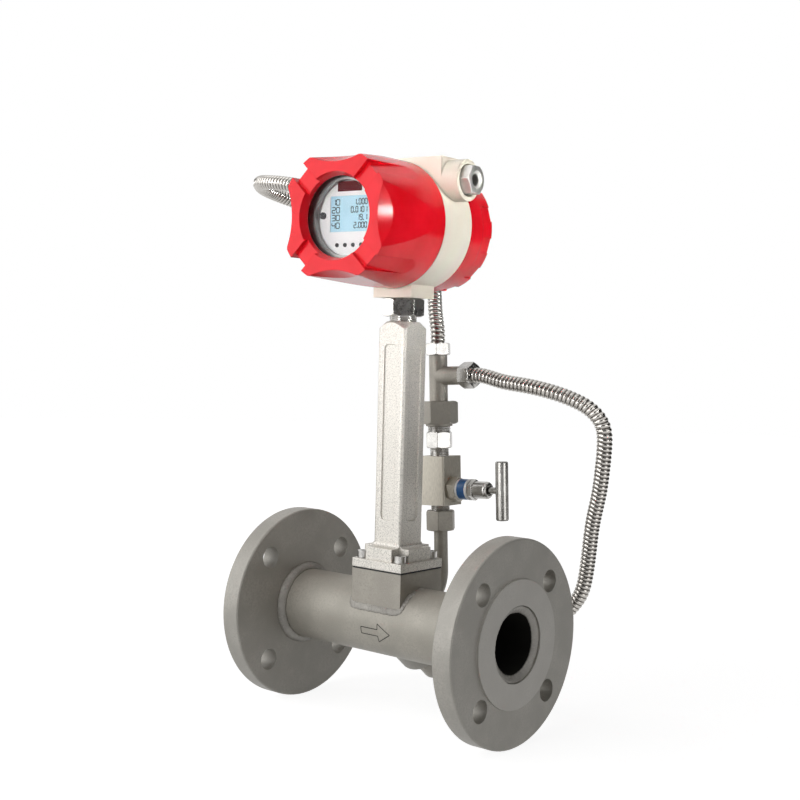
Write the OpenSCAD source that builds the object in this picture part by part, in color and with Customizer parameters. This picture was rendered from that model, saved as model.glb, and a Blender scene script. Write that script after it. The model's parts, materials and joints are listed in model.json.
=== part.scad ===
// Flanged vortex flow meter: meter tube with a shedder bar and a vortex probe, a cast neck,
// a two-cover head with a display, and a rear pressure tap with a needle valve.
// Millimetres, +X along the flow, +Z up.
// Origin: centre of the raised face of the inlet flange.

/* [Meter tube] */
// Length over the two raised faces
face_to_face = 250; // [230:1:300]
// Outside diameter of the meter tube
tube_od = 60; // [57:0.5:63]
// Wall of the meter tube
tube_wall = 5; // [4:0.25:6]
// Distance of each tube end behind the raised face
tube_setback = 5; // [4:0.5:8]

/* [Flanges] */
// Outside diameter of each flange
flange_od = 165; // [155:1:185]
// Thickness of each flange behind the raised face
flange_t = 18; // [14:1:24]
// Diameter of the raised face
raised_od = 102; // [90:1:105]
// Height of the raised face
raised_h = 2; // [1:0.5:3]
// Bolt circle diameter
bolt_circle = 125; // [122:1:130]
// Bolt hole diameter
bolt_hole = 18; // [14:0.5:18]
// Bolt holes in each flange
bolt_count = 4; // [4:4:8]
// Chamfer on the rims
rim_chamfer = 1; // [0.5:0.25:2]

/* [Sensor pad] */
// Side of the square pad under the neck
pad_w = 53; // [50:0.5:58]
// Height of the pad's top above the tube axis
pad_top = 44; // [42:0.5:50]
// Height of the weld beads above the tube wall
bead_h = 4; // [2:0.5:5]
// Leg of the fillet weld behind each flange
fillet_leg = 6; // [3:0.5:8]

/* [Shedder bar and probe] */
// Width of the bar's upstream face
bar_w = 14; // [10:0.5:16]
// Width of the bar's downstream edge
bar_tail_w = 5; // [3:0.5:8]
// Length of the bar along the flow
bar_l = 18; // [12:0.5:22]
// Distance from the bar's tail to the probe axis
bar_lead = 14; // [12:0.5:20]
// Diameter of the probe body
probe_d = 20; // [16:0.5:24]
// Diameter of the probe's clamping flange
probe_flange_d = 34; // [30:0.5:36]
// Thickness of the probe's clamping flange
probe_flange_t = 7; // [5:0.5:9]
// Length of the paddle below the tube axis
paddle_reach = 10; // [4:0.5:16]
// Thickness of the paddle
paddle_t = 3; // [2:0.25:5]

/* [Neck] */
// Thickness of the neck gasket
gasket_t = 1.4; // [0.8:0.1:2]
// Thickness of the neck's base plate
base_t = 7; // [5:0.5:9]
// Height of the tier above the base plate
tier_t = 10.5; // [8:0.5:12]
// Set-in of the tier from the edge of the base plate
tier_inset = 2.5; // [1.5:0.25:4]
// Radius of the sweep between tier and column
sweep_r = 3; // [2:0.5:5]
// Side of the square column
column_w = 29.2; // [27:0.2:30]
// Corner radius of the column
column_corner = 3; // [1.5:0.5:5]
// Height of the neck's top above the tube axis
neck_top = 249; // [235:1:255]
// Height of the tapered top of the column
neck_taper = 7; // [4:0.5:10]
// Width of the recessed panel in each column face
panel_w = 14; // [8:0.5:18]
// Depth of the recessed panels
panel_depth = 1.2; // [0.5:0.1:2]
// Corner radius of the panels
panel_corner = 4; // [2:0.5:6]
// Distance of the panels from the taper at the top
panel_margin = 12; // [8:1:30]
// Height of the panels above the tier
panel_foot = 22; // [12:1:40]
// Thread size of the four neck screws
screw_d = 6; // [5:0.5:6]
// Distance of the screws from the pad's edges
screw_inset = 6.5; // [6:0.25:8]
// Wire way through the neck
wire_bore = 15; // [10:0.5:16]

/* [Head] */
// Height of the head's axis above the top of the neck
head_rise = 78.5; // [78:0.5:85]
// Turn of the head on the neck
head_turn = 5.4; // [0:0.1:10]
// Radius of the housing ring and the covers
ring_r = 52; // [51:0.5:55]
// Reach of the ring in front of the neck axis
ring_front = 19; // [19:0.5:22]
// Reach of the ring behind the neck axis
ring_back = 20; // [20:0.5:23]
// Step from the ring down to the threaded spigots
spigot_step = 5.5; // [5:0.25:6]
// Length of the threaded spigots
spigot_l = 13; // [11:0.5:15]
// Wall of the threaded spigots
spigot_wall = 5.5; // [4.5:0.25:7]
// Diameter of the side bosses
boss_d = 33.5; // [32:0.5:36]
// Height of the boss axis above the head's axis
boss_rise = 35; // [33:0.5:36]
// Reach of the bosses from the neck axis
boss_reach = 56; // [55:0.5:60]
// Depth of the gland's recess in the end of the right boss
gland_recess = 4; // [2:0.5:5]
// Height of the bridge's flat top above the head's axis
bridge_top = 53.5; // [53:0.5:58]
// Half length of the bridge on top
bridge_reach = 45; // [40:0.5:50]
// Width of the foot across the front
foot_w = 38; // [34:0.5:42]
// Depth of the foot
foot_d = 33; // [32:0.5:36]
// Thread of the nipple between neck and head
nipple_d = 22; // [20:0.5:24]
// Across flats of the lock nut
lock_nut_af = 30; // [28:0.5:34]
// Height of the lock nut
lock_nut_h = 15; // [12:0.5:15]
// Turn of the tightened lock nut about the neck axis
lock_nut_turn = -20; // [-30:1:30]

/* [Front cover] */
// Distance of the petal faces in front of the neck axis
front_reach = 96.5; // [96:0.5:100]
// Height of the petals above the four notches
petal_h = 4; // [2:0.25:5]
// Width of the notches between the petals
notch_w = 14.8; // [10:0.2:16]
// Depth of the notches below the ring at the front
notch_depth = 4.5; // [3:0.25:5]
// Where the notches run out, in front of the neck axis
notch_end = 40; // [36:1:60]
// Depth of the side flats below the ring at the front
flat_depth = 6.3; // [4:0.1:7]
// Where the side flats run out, in front of the neck axis
flat_end = 33; // [30:1:50]
// Radius of the finger scoop in each petal
scoop_r = 68; // [50:1:90]
// Depth of the scoops below the side flats at the front
scoop_depth = 4.2; // [2:0.1:4.6]
// Length of the scoops along each flat
scoop_l = 12.5; // [8:0.5:18]
// Width of the cover's face outside the window bevel
face_w = 18; // [17:0.25:19]
// Width of the bevel around the window
bevel_w = 2.5; // [1.5:0.25:4]
// Depth of the bevel around the window
bevel_depth = 7; // [5:0.5:7.5]
// Overlap of the window glass beyond the window
glass_lap = 5.1; // [3.5:0.1:5.5]
// Thickness of the window glass
glass_t = 6; // [4:0.25:6.5]

/* [Rear cover] */
// Distance of the rear cover's end behind the neck axis
rear_reach = 54.6; // [54:0.2:60]
// Step from the ring down to the grip rim
rim_step = 1; // [0.5:0.25:3]
// Length of the grip rim
rim_l = 15; // [10:0.5:16]
// Grip notches round the rim
rim_notches = 12; // [8:1:16]
// Width of each grip notch
rim_notch_w = 12.5; // [8:0.25:16]
// Depth of each grip notch
rim_notch_depth = 1.75; // [1:0.25:2.5]

/* [Display] */
// Distance of the panel's face in front of the neck axis
panel_face = 76.5; // [75:0.25:76.6]
// Overlap of the display panel beyond the window
display_lap = 1.5; // [1:0.25:2.5]
// Thickness of the display panel
display_t = 3; // [2:0.25:4]
// Width of the panel beside the display glass
lcd_side = 14; // [13:0.25:16]
// Height of the display glass as a share of its width
lcd_shape = 0.737; // [0.65:0.001:0.8]
// Height of the display's centre above the head's axis
lcd_rise = 3.5; // [2:0.25:4]
// Distance between the keys
key_pitch = 7.8; // [6:0.1:9]
// Diameter of the keys
key_d = 3.2; // [2.5:0.1:4]
// Height of the key row below the head's axis
key_drop = 20.8; // [20:0.1:22]
// Height of a key above the panel
key_proud = 0.5; // [0.4:0.05:0.6]
// Travel of a key
key_travel = 0.4; // [0.2:0.05:0.4]
// Distance of the bare plate above the display glass
plate_gap = 3.4; // [3:0.1:4]
// Distance of the plate's top from the panel's edge
plate_drop = 4.1; // [3.5:0.1:5]
// Distance of the plate's corners from the panel's edge
plate_edge = 1.8; // [1.5:0.1:2.5]

/* [Head fittings] */
// Thread of the two side bosses
conduit_d = 20; // [18:0.5:22]
// Diameter of the gland's collar
gland_collar_d = 24; // [23:0.5:28]
// Across flats of the gland nut
gland_af = 22; // [20:0.5:24]
// Height of the gland nut
gland_nut_h = 9.6; // [8:0.2:12]
// Cable bore of the gland seal
cable_bore = 7; // [5:0.5:8]
// Across flats of the hose adapter
adapter_af = 24; // [23:0.5:28]
// Height of the adapter's hexagon
adapter_hex_h = 8; // [6:0.5:10]
// Length of the hose nut on the adapter
conduit_nut_l = 15; // [12:0.5:18]

/* [Pressure tap] */
// Distance of the tap column behind the tube axis
tap_y = 62; // [58:0.5:70]
// Height of the tap's hole above the tube axis
tap_rise = 8; // [7:0.5:8.5]
// Lean of the tap column against the flow
tap_lean = 3; // [0:0.25:4]
// Outside diameter of the tap tube
tap_od = 12; // [10:0.5:13]
// Bore of the tap tube
tap_bore = 8; // [6:0.5:9]
// Bend radius of the tap tube
tap_bend = 27; // [22:0.5:30]
// Height of the valve body's underside
valve_z = 91.8; // [90:0.2:96]
// Length of the valve body along the stem
valve_l = 28; // [25:0.5:31]
// Width of the valve body across the stem
valve_w = 25; // [24.5:0.5:28]
// Height of the valve body
valve_h = 42.6; // [40:0.2:46]
// Height of the stem above the valve body's underside
stem_rise = 14.2; // [13:0.2:20]
// Diameter of the valve's threaded ends
valve_end_d = 16; // [15:0.25:17]
// Diameter of the valve stem
stem_d = 6; // [5:0.25:7]
// Distance of the handle from the valve's axis
handle_x = 66.5; // [64:0.5:72]
// Diameter of the handle bar
handle_d = 11; // [9:0.5:12]
// Length of the handle bar
handle_l = 50; // [40:1:60]
// Across flats of the nut under the valve
tap_nut_af = 23; // [21:0.5:25]
// Height of the nut under the valve
tap_nut_h = 17.4; // [15:0.2:18]
// Across flats of the nut above the valve
top_nut_af = 21; // [19:0.5:23]
// Height of the nut above the valve
top_nut_h = 14; // [12:0.5:16]
// Across flats of the pressure sensor's hexagon
sensor_af = 29; // [26:0.5:32]
// Turn of the pressure sensor's hexagon on the column
sensor_turn = -17; // [-30:1:30]
// Height of the pressure sensor's hexagon
sensor_hex_h = 19.6; // [18:0.1:24]
// Diameter of the tee above the sensor
tee_d = 16; // [14:0.5:16]
// Height of the tee
tee_h = 40; // [38:0.5:46]
// Height of the tee's branch above its foot
branch_rise = 22; // [20:0.5:25]
// Reach of the tee's branch from the column axis
branch_reach = 27.5; // [24:0.5:30]
// Across flats of the hose nuts
hose_nut_af = 20; // [18:0.5:22]

/* [Temperature sensor] */
// Slope of the sensor below the horizontal
well_slope = 40; // [35:1:50]
// Diameter of the welded boss
well_boss_d = 42; // [38:0.5:46]
// Distance of the boss's face from the tube axis
well_face = 46; // [44:0.5:50]
// Across flats of the sensor's hexagon
well_af = 32; // [28:0.5:34]
// Diameter of the sensor's connection head
well_head_d = 26; // [24:0.5:30]
// Height of the sensor's connection head
well_head_h = 22; // [20:0.5:30]
// Diameter of the sensor's stem
well_stem_d = 8; // [6:0.5:10]
// Thread of the sensor
well_thread_d = 20; // [18:0.5:22]
// Reach of the sensor's side outlet
outlet_reach = 26; // [24:0.5:30]
// Diameter of the sensor's side outlet
outlet_d = 14; // [12:0.5:16]

/* [Hoses] */
// Outside diameter of the metal hoses
hose_od = 13; // [11:0.5:14]

/* [Clearances] */
// Gap between pieces that are clamped or welded together
seat_gap = 0.1; // [0.05:0.01:0.2]
// Radial gap between the flanges and the tube
slip_gap = 0.4; // [0.2:0.05:0.6]
// Radial gap between cover and spigot
thread_gap = 0.35; // [0.3:0.05:0.5]
// Gap between the cover rims and the housing ring
rim_gap = 0.4; // [0.3:0.05:0.6]
// Radial running gap of the valve stem
run_gap = 0.06; // [0.03:0.01:0.09]
// Radial gap round the keys
key_gap = 0.3; // [0.25:0.05:0.4]

/* [Hidden] */
$fn = 96;
over = 1;
tube_r = tube_od / 2;
tube_bore = tube_od - 2 * tube_wall;
flange_h = raised_h + flange_t;
neck_x = face_to_face / 2;
neck_base = pad_top + gasket_t;
tier_base = neck_base + base_t;
column_base = tier_base + tier_t;
head_z = neck_top + head_rise;
screw_at = pad_w / 2 - screw_inset;
screw_head_d = 1.65 * screw_d;
screw_head_h = screw_d;
foot_base = neck_top + 3 + lock_nut_h + 1.4;
spigot_r = ring_r - spigot_step;
cavity_r = spigot_r - spigot_wall;
cover_inner_r = spigot_r + thread_gap;
notch_r = ring_r - notch_depth;
flat_r = ring_r - flat_depth;
scoop_depth_r = flat_r - scoop_depth;
window_front_r = ring_r - face_w;
window_r = window_front_r - bevel_w;
glass_r = window_r + glass_lap;
rim_r = ring_r - rim_step;
display_r = window_r + display_lap;
lcd_w = 2 * (display_r - lcd_side);
lcd_h = lcd_w * lcd_shape;
plate_base = lcd_rise + lcd_h / 2 + plate_gap;
plate_top = display_r - plate_drop;
plate_w = 2 * sqrt(pow(display_r - plate_edge, 2) - pow(plate_top, 2));
cover_wall_r = cavity_r + 4;
lip_plane = front_reach - bevel_depth - 0.7;
glass_pocket_r = glass_r + 0.3;
glass_front = lip_plane - 0.9;
glass_back = glass_front - glass_t;
ring_depth = 4;
pocket_back = glass_back - ring_depth - 3.2;
partition_front = 1;
partition_back = -3;
stem_z = valve_z + stem_rise;
valve_top = valve_z + valve_h;
end_l = 12.6;
tap_nut_top = valve_z - 4.9;
tap_nut_z = tap_nut_top - tap_nut_h;
top_nut_z = valve_top + 6.8;
top_nut_top = top_nut_z + top_nut_h;
collar_h = 7;
washer_t = 2;
thread_d = sensor_af * 2 / 3;
sensor_hex_z = top_nut_top + collar_h;
tee_z = sensor_hex_z + sensor_hex_h;
tee_top = tee_z + tee_h;
branch_z = tee_z + branch_rise;
hose_nut_h = 10.6;
branch_nut_h = 12;
bonnet_hex_l = 9;
bonnet_turn = 11;
band_l = 12.2;
lock_ring_l = 5;
spot_depth = 0.7;
bonnet_x = valve_l / 2 - spot_depth + seat_gap;
band_x = bonnet_x + bonnet_hex_l + seat_gap;
lock_ring_x = band_x + band_l + seat_gap;
packing_x = lock_ring_x + lock_ring_l + seat_gap;
packing_l = 13.7;
barrel_d = 13;
bonnet_af = barrel_d + 6;
needle_l = 5.4;
needle_x = -1;
needle_r = 2.4;
seat_x = 1;
chamber_end = 3;
port_d = 4;
riser_d = 3;
sensor_spigot_d = 10;
well_head_at = well_face + 8;
well_outlet_at = well_head_at + well_head_h / 2 + 1;
key_xs = [for (i = [0:3]) (i - 1.5) * key_pitch];
gland_collar_t = 2.4;
seal_d = conduit_d - 7;
shank_l = 15;
board_t = 1.6;
chip = cavity_r / 10;
terminal_gap = 2 * chip;
main_board_z = ring_front + 0.7 * spigot_l;
board_gap = 2;
board_face = panel_face - display_t - board_gap;
post_ring_r = display_r - 5;
post_d = 6;
display_screw_x = display_r - 7.5;
hose_bore = 9;
hose_sides = 10;

// Route of the hose from the head's left boss round to the top of the tee
head_hose_route = [
    [46.4, -7.4, 362.5], [33, -8.7, 362.8], [11, -10.5, 366.3], [-12, -11, 370],
    [-33.5, -7.5, 372.5], [-52.4, 3, 373.9], [-67.3, 21, 372.3], [-74, 44, 369.1],
    [-68, 67, 363.3], [-51, 84, 356.4], [-27, 93.5, 349], [-1, 97, 339.5],
    [24, 97, 328.5], [46.5, 93.5, 315.5], [67, 88.5, 303], [85.5, 82, 290.5],
    [99.5, 72, 275], [107.4, 64.5, 257.5], [112.4, 62, 240.3], [112.8, 62, 232.3]
];
// Route of the hose from the tee's branch down to the temperature sensor
sensor_hose_route = [
    [153.9, 62, 205.6], [161.9, 62, 205.4], [180, 62, 201.8], [203.5, 62.5, 199],
    [228, 65, 195], [249.5, 69.5, 188.6], [264.5, 74, 180], [271.7, 78, 169],
    [271.7, 82, 155.5], [267.2, 87.5, 134], [260.5, 94, 111], [252, 100, 87], [246, 105.5, 64],
    [240.5, 110.5, 42], [234.3, 113, 23.1], [224.3, 113.2, 9.1], [215.5, 109.5, -2],
    [209, 101.5, -15], [204.5, 90, -26], [200.5, 77.5, -34.5], [193.5, 64.5, -40.5],
    [183.5, 54.8, -42.6], [171.5, 50.6, -42.4], [163, 50.6, -42.4]
];

// Shared frames and shapes

// Cylinder along +X from x0
module x_cylinder(d, x0, x1) {
    translate([x0, 0, 0])
        rotate([0, 90, 0])
            cylinder(d = d, h = x1 - x0);
}

// Head frame: x to the right of the display, y up, z out of the display
module head_frame() {
    translate([neck_x, 0, head_z])
        rotate([0, 0, head_turn])
            rotate([90, 0, 0])
                children();
}

// Tap frame: leans with the column, which stands at y = tap_y
module tap_frame() {
    translate([neck_x, 0, 0])
        rotate([0, -tap_lean, 0])
            children();
}

// Leg frame: z out of the tube along the tap's horizontal leg
module leg_frame() {
    tap_frame()
        translate([0, 0, tap_rise])
            rotate([-90, 0, 0])
                children();
}

// Column frame: z up along the column's own axis
module column_frame() {
    tap_frame()
        translate([0, tap_y, 0])
            children();
}

// Stem frame: z along the valve stem, out of the valve body
module stem_frame() {
    column_frame()
        translate([0, 0, stem_z])
            rotate([0, 90, 0])
                children();
}

// Well frame: z out of the tube along the temperature sensor, x along the flow
module well_frame() {
    translate([neck_x, 0, 0])
        rotate([-90 - well_slope, 0, 0])
            children();
}

// Boss frame: z out of the head along a side boss, side 1 right and -1 left
module boss_frame(side) {
    head_frame()
        translate([0, boss_rise, 0])
            rotate([0, side * 90, 0])
                children();
}

// Flat ring
module ring(outer_r, inner_r, h) {
    difference() {
        cylinder(r = outer_r, h = h);
        translate([0, 0, -over])
            cylinder(r = inner_r, h = h + 2 * over);
    }
}

// Hexagon with its corners chamfered at both ends
module hexagon(af, h) {
    corner_r = af / 2 / cos(30);
    slope = (corner_r - af / 2) * tan(30);
    intersection() {
        cylinder(r = corner_r, h = h, $fn = 6);
        rotate_extrude()
            polygon([
                [0, 0], [af / 2, 0], [corner_r, slope],
                [corner_r, h - slope], [af / 2, h], [0, h]
            ]);
    }
}

// Hexagon with a through bore
module hex_nut(af, h, bore) {
    difference() {
        hexagon(af, h);
        translate([0, 0, -over])
            cylinder(d = bore, h = h + 2 * over);
    }
}

// Rectangle with round corners
module round_rectangle(w, h, r) {
    square([w, h - 2 * r], center = true);
    square([w - 2 * r, h], center = true);
    for (x = [-1, 1], y = [-1, 1])
        translate([x * (w / 2 - r), y * (h / 2 - r)])
            circle(r = r);
}

// Tube swept along a route, one ring of sides per route point
function unit(v) = v / norm(v);
function along(route, i) =
    unit(route[min(i + 1, len(route) - 1)] - route[max(i - 1, 0)]);
function first_side(t) = unit(cross(t, abs(t[2]) < 0.9 ? [0, 0, 1] : [0, 1, 0]));
function carried(route, i) =
    i == 0 ? first_side(along(route, 0))
    : let (t = along(route, i), s = carried(route, i - 1)) unit(s - (s * t) * t);
module swept_tube(route, d, sides) {
    n = len(route);
    points = [
        for (i = [0:n - 1])
            let (t = along(route, i), u = carried(route, i), v = cross(t, u))
                for (k = [0:sides - 1])
                    route[i] + d / 2 * (cos(k * 360 / sides) * u + sin(k * 360 / sides) * v)
    ];
    walls = [
        for (i = [0:n - 2], k = [0:sides - 1])
            let (a = i * sides, b = a + sides, m = (k + 1) % sides)
                [a + k, b + k, b + m, a + m]
    ];
    start_cap = [for (k = [0:sides - 1]) k];
    end_cap = [for (k = [sides - 1:-1:0]) (n - 1) * sides + k];
    polyhedron(points, concat(walls, [start_cap, end_cap]));
}

// Meter tube and flanges

// Flange along +Z with its raised face at z = 0
module flange() {
    bore_r = tube_r + slip_gap;
    edge_r = flange_od / 2;
    difference() {
        rotate_extrude()
            polygon([
                [bore_r, 0], [raised_od / 2, 0], [raised_od / 2, raised_h],
                [edge_r - rim_chamfer, raised_h], [edge_r, raised_h + rim_chamfer],
                [edge_r, flange_h - rim_chamfer], [edge_r - rim_chamfer, flange_h],
                [bore_r, flange_h]
            ]);
        for (i = [0:bolt_count - 1])
            rotate((i + 0.5) * 360 / bolt_count)
                translate([bolt_circle / 2, 0, -over])
                    cylinder(d = bolt_hole, h = flange_h + 2 * over);
    }
}

module inlet_flange() {
    color("#77736c")
        rotate([0, 90, 0])
            flange();
}

module outlet_flange() {
    color("#77736c")
        translate([face_to_face, 0, 0])
            rotate([0, -90, 0])
                flange();
}

module meter_tube() {
    color("#77736c")
        difference() {
            x_cylinder(tube_od, tube_setback, face_to_face - tube_setback);
            x_cylinder(tube_bore, 0, face_to_face);
            translate([neck_x, 0, 0])
                cylinder(d = probe_d + 2 * slip_gap, h = tube_od);
            leg_frame()
                cylinder(d = tap_od + 2 * seat_gap, h = tube_od);
            well_frame()
                cylinder(d = well_stem_d + 2 * slip_gap, h = tube_od);
        }
}

// Footprint of the pieces welded to the tube wall, grown by a margin along and across the tube
module welded_footprint(along_x, across) {
    pad_l = pad_w + 2 * along_x;
    pad_b = pad_w + across;
    translate([neck_x - pad_l / 2, -pad_b / 2, 0])
        cube([pad_l, pad_b, pad_top + over]);
    leg_frame()
        cylinder(d = tap_od + 2 * along_x, h = tube_od);
    well_frame()
        cylinder(d = well_boss_d + across, h = tube_od);
}

// Beads on the tube wall round the pad, the tap and the boss
module saddle_welds() {
    difference() {
        intersection() {
            welded_footprint(bead_h, bead_h);
            x_cylinder(tube_od + 2 * bead_h, 0, face_to_face);
        }
        welded_footprint(seat_gap, 2 * seat_gap);
        x_cylinder(tube_od + 2 * seat_gap, -over, face_to_face + over);
    }
}

// Weld ring on the end of the tube, inside the flange bore
module bore_weld() {
    wall_r = tube_r + slip_gap - seat_gap;
    seat = tube_setback - seat_gap;
    rotate_extrude()
        polygon([[tube_bore / 2 + 0.5, seat], [wall_r, seat], [wall_r, 1], [wall_r - 1, 1.4]]);
}

// Fillet weld behind a flange
module back_weld() {
    seat = flange_h + seat_gap;
    inner = tube_r + seat_gap;
    rotate_extrude()
        polygon([
            [inner, seat], [inner + fillet_leg, seat],
            [inner + fillet_leg * 0.6, seat + fillet_leg * 0.6], [inner, seat + fillet_leg]
        ]);
}

module weld_beads() {
    color("#6b665f") {
        rotate([0, 90, 0]) {
            bore_weld();
            back_weld();
        }
        translate([face_to_face, 0, 0])
            rotate([0, -90, 0]) {
                bore_weld();
                back_weld();
            }
        saddle_welds();
    }
}

// Sensor pad, shedder bar and probe

module sensor_pad() {
    seat = pad_top - probe_flange_t - seat_gap;
    color("#67635d")
        translate([neck_x, 0, 0])
            difference() {
                translate([-pad_w / 2, -pad_w / 2, 0])
                    cube([pad_w, pad_w, pad_top]);
                x_cylinder(tube_od + 2 * seat_gap, -pad_w, pad_w);
                cylinder(d = probe_d + 2 * slip_gap, h = pad_top + over);
                translate([0, 0, seat])
                    cylinder(d = probe_flange_d + 2 * slip_gap, h = probe_flange_t + over);
                for (x = [-1, 1], y = [-1, 1])
                    translate([x * screw_at, y * screw_at, pad_top - 2 * screw_d])
                        cylinder(d = screw_d + 2 * seat_gap, h = 2 * screw_d + over);
            }
}

module shedder_bar() {
    tail_x = neck_x - bar_lead;
    color("#9a958d")
        intersection() {
            translate([0, 0, -tube_bore])
                linear_extrude(2 * tube_bore)
                    polygon([
                        [tail_x - bar_l, -bar_w / 2], [tail_x - bar_l + 2, -bar_w / 2],
                        [tail_x, -bar_tail_w / 2], [tail_x, bar_tail_w / 2],
                        [tail_x - bar_l + 2, bar_w / 2], [tail_x - bar_l, bar_w / 2]
                    ]);
            x_cylinder(tube_bore - 2 * seat_gap, 0, face_to_face);
        }
}

module vortex_probe() {
    flange_z = pad_top - probe_flange_t;
    body_z = tube_bore / 2 - 4;
    color("#b9b5ad")
        translate([neck_x, 0, 0]) {
            translate([0, 0, body_z])
                cylinder(d = probe_d, h = flange_z - body_z);
            translate([0, 0, flange_z])
                cylinder(d = probe_flange_d, h = probe_flange_t - seat_gap);
            translate([0, 0, pad_top - seat_gap])
                cylinder(d = wire_bore - 2, h = 14);
            translate([-probe_d * 0.35, -paddle_t / 2, -paddle_reach])
                cube([probe_d * 0.7, paddle_t, body_z + paddle_reach]);
        }
}

// Neck

module neck_gasket() {
    color("#161616")
        translate([neck_x, 0, pad_top])
            difference() {
                translate([-pad_w / 2 + 0.4, -pad_w / 2 + 0.4, seat_gap / 2])
                    cube([pad_w - 0.8, pad_w - 0.8, gasket_t - seat_gap]);
                translate([0, 0, -over])
                    cylinder(d = wire_bore, h = gasket_t + 2 * over);
                for (x = [-1, 1], y = [-1, 1])
                    translate([x * screw_at, y * screw_at, -over])
                        cylinder(d = screw_d + 2 * slip_gap, h = gasket_t + 2 * over);
            }
}

// Concave sweep from the tier up to the column, one quarter round per side
module neck_sweep() {
    w = column_w + 2 * sweep_r;
    difference() {
        translate([-w / 2, -w / 2, 0])
            cube([w, w, sweep_r]);
        for (a = [0:90:270])
            rotate(a)
                translate([w / 2, -w, sweep_r])
                    rotate([-90, 0, 0])
                        cylinder(r = sweep_r, h = 2 * w);
    }
}

// Recess with round corners that runs up one face of the column
module panel_recess() {
    low = column_base + panel_foot;
    high = neck_top - neck_taper - panel_margin;
    translate([0, -column_w / 2 + panel_depth, (low + high) / 2])
        rotate([90, 0, 0])
            linear_extrude(panel_depth + over)
                round_rectangle(panel_w, high - low, panel_corner);
}

module neck() {
    tier_w = pad_w - 2 * tier_inset;
    notch = screw_inset + screw_head_d / 2 + 1;
    corner_r = column_w / sqrt(2);
    color("#c2bdb4")
        translate([neck_x, 0, 0])
            difference() {
                union() {
                    translate([-pad_w / 2, -pad_w / 2, neck_base])
                        cube([pad_w, pad_w, base_t]);
                    translate([-tier_w / 2, -tier_w / 2, tier_base])
                        cube([tier_w, tier_w, tier_t]);
                    translate([0, 0, column_base])
                        neck_sweep();
                    intersection() {
                        translate([0, 0, column_base])
                            linear_extrude(neck_top - column_base)
                                round_rectangle(column_w, column_w, column_corner);
                        rotate_extrude()
                            polygon([
                                [0, 0], [corner_r, 0], [corner_r, neck_top - neck_taper],
                                [column_w / 2 - 1, neck_top], [0, neck_top]
                            ]);
                    }
                }
                for (a = [0:90:270])
                    rotate(a)
                        panel_recess();
                for (a = [0:90:270])
                    rotate(a) {
                        translate([pad_w / 2 - notch, pad_w / 2 - notch, tier_base])
                            cube([notch + over, notch + over, tier_t + sweep_r + over]);
                        translate([screw_at, screw_at, neck_base - over])
                            cylinder(d = screw_d + 2 * slip_gap, h = base_t + 2 * over);
                    }
                translate([0, 0, neck_base - over])
                    cylinder(d = wire_bore, h = neck_top - neck_base + 2 * over);
                translate([0, 0, neck_top - lock_nut_h])
                    cylinder(d = nipple_d + 2 * seat_gap, h = lock_nut_h + over);
            }
}

// Socket head screws in the corner notches
module neck_screws() {
    color("#d8d8d8")
        translate([neck_x, 0, 0])
            for (x = [-1, 1], y = [-1, 1])
                translate([x * screw_at, y * screw_at, tier_base + seat_gap])
                    difference() {
                        union() {
                            cylinder(d = screw_head_d, h = screw_head_h);
                            translate([0, 0, pad_top - 1.8 * screw_d - tier_base])
                                cylinder(d = screw_d, h = tier_base - pad_top + 1.8 * screw_d);
                        }
                        translate([0, 0, screw_head_h / 2])
                            cylinder(d = 0.9 * screw_d, h = screw_head_h, $fn = 6);
                    }
}

module neck_nipple() {
    low = neck_top - lock_nut_h + seat_gap;
    color("#b5b2ac")
        translate([neck_x, 0, low])
            ring(nipple_d / 2, wire_bore / 2, foot_base + 12 - low);
}

module lock_nut() {
    color("#a9a49b")
        translate([neck_x, 0, foot_base - seat_gap - lock_nut_h])
            rotate(lock_nut_turn)
                hex_nut(lock_nut_af, lock_nut_h, nipple_d + 2 * seat_gap);
}

// Head housing

module head_housing() {
    thread_d = conduit_d + 2 * seat_gap;
    recess_d = gland_af / cos(30) + 2 * slip_gap;
    foot_drop = head_z - foot_base;
    color("#e6e2d3")
        head_frame()
            difference() {
                union() {
                    translate([0, 0, -ring_back])
                        cylinder(r = ring_r, h = ring_front + ring_back);
                    translate([0, 0, -ring_back - spigot_l])
                        cylinder(r = spigot_r, h = ring_front + ring_back + 2 * spigot_l);
                    translate([-boss_reach, boss_rise, 0])
                        rotate([0, 90, 0])
                            cylinder(d = boss_d, h = 2 * boss_reach + gland_recess);
                    translate([-bridge_reach, boss_rise, -boss_d / 2])
                        cube([2 * bridge_reach, bridge_top - boss_rise, boss_d]);
                    translate([-foot_w / 2, -foot_drop, -foot_d / 2])
                        cube([foot_w, foot_drop - cavity_r, foot_d]);
                }
                translate([0, 0, partition_front])
                    cylinder(r = cavity_r, h = ring_front + spigot_l);
                translate([0, 0, -ring_back - spigot_l - over])
                    cylinder(r = cavity_r, h = ring_back + spigot_l + over + partition_back);
                translate([-boss_reach - over, boss_rise, 0])
                    rotate([0, 90, 0])
                        cylinder(d = thread_d, h = 2 * (boss_reach + over));
                translate([boss_reach, boss_rise, 0])
                    rotate([0, 90, 0])
                        cylinder(d = recess_d, h = gland_recess + over);
                translate([0, -foot_drop - over, 0])
                    rotate([-90, 0, 0])
                        cylinder(d = nipple_d + 2 * seat_gap, h = foot_drop - cavity_r + 8);
                for (s = [ring_front, -ring_back - 3])
                    translate([0, 0, s])
                        seal_groove();
            }
}

// Groove for a cover seal at the foot of a spigot
module seal_groove() {
    difference() {
        cylinder(r = spigot_r + over, h = 3);
        translate([0, 0, -over])
            cylinder(r = spigot_r - 2.4, h = 3 + 2 * over);
    }
}

// Round seal in the groove of a spigot
module cover_seal() {
    rotate_extrude()
        translate([spigot_r - 1, 0])
            circle(r = 1.1, $fn = 32);
}

module front_seal() {
    color("#202020")
        head_frame()
            translate([0, 0, ring_front + 1.5])
                cover_seal();
}

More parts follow.
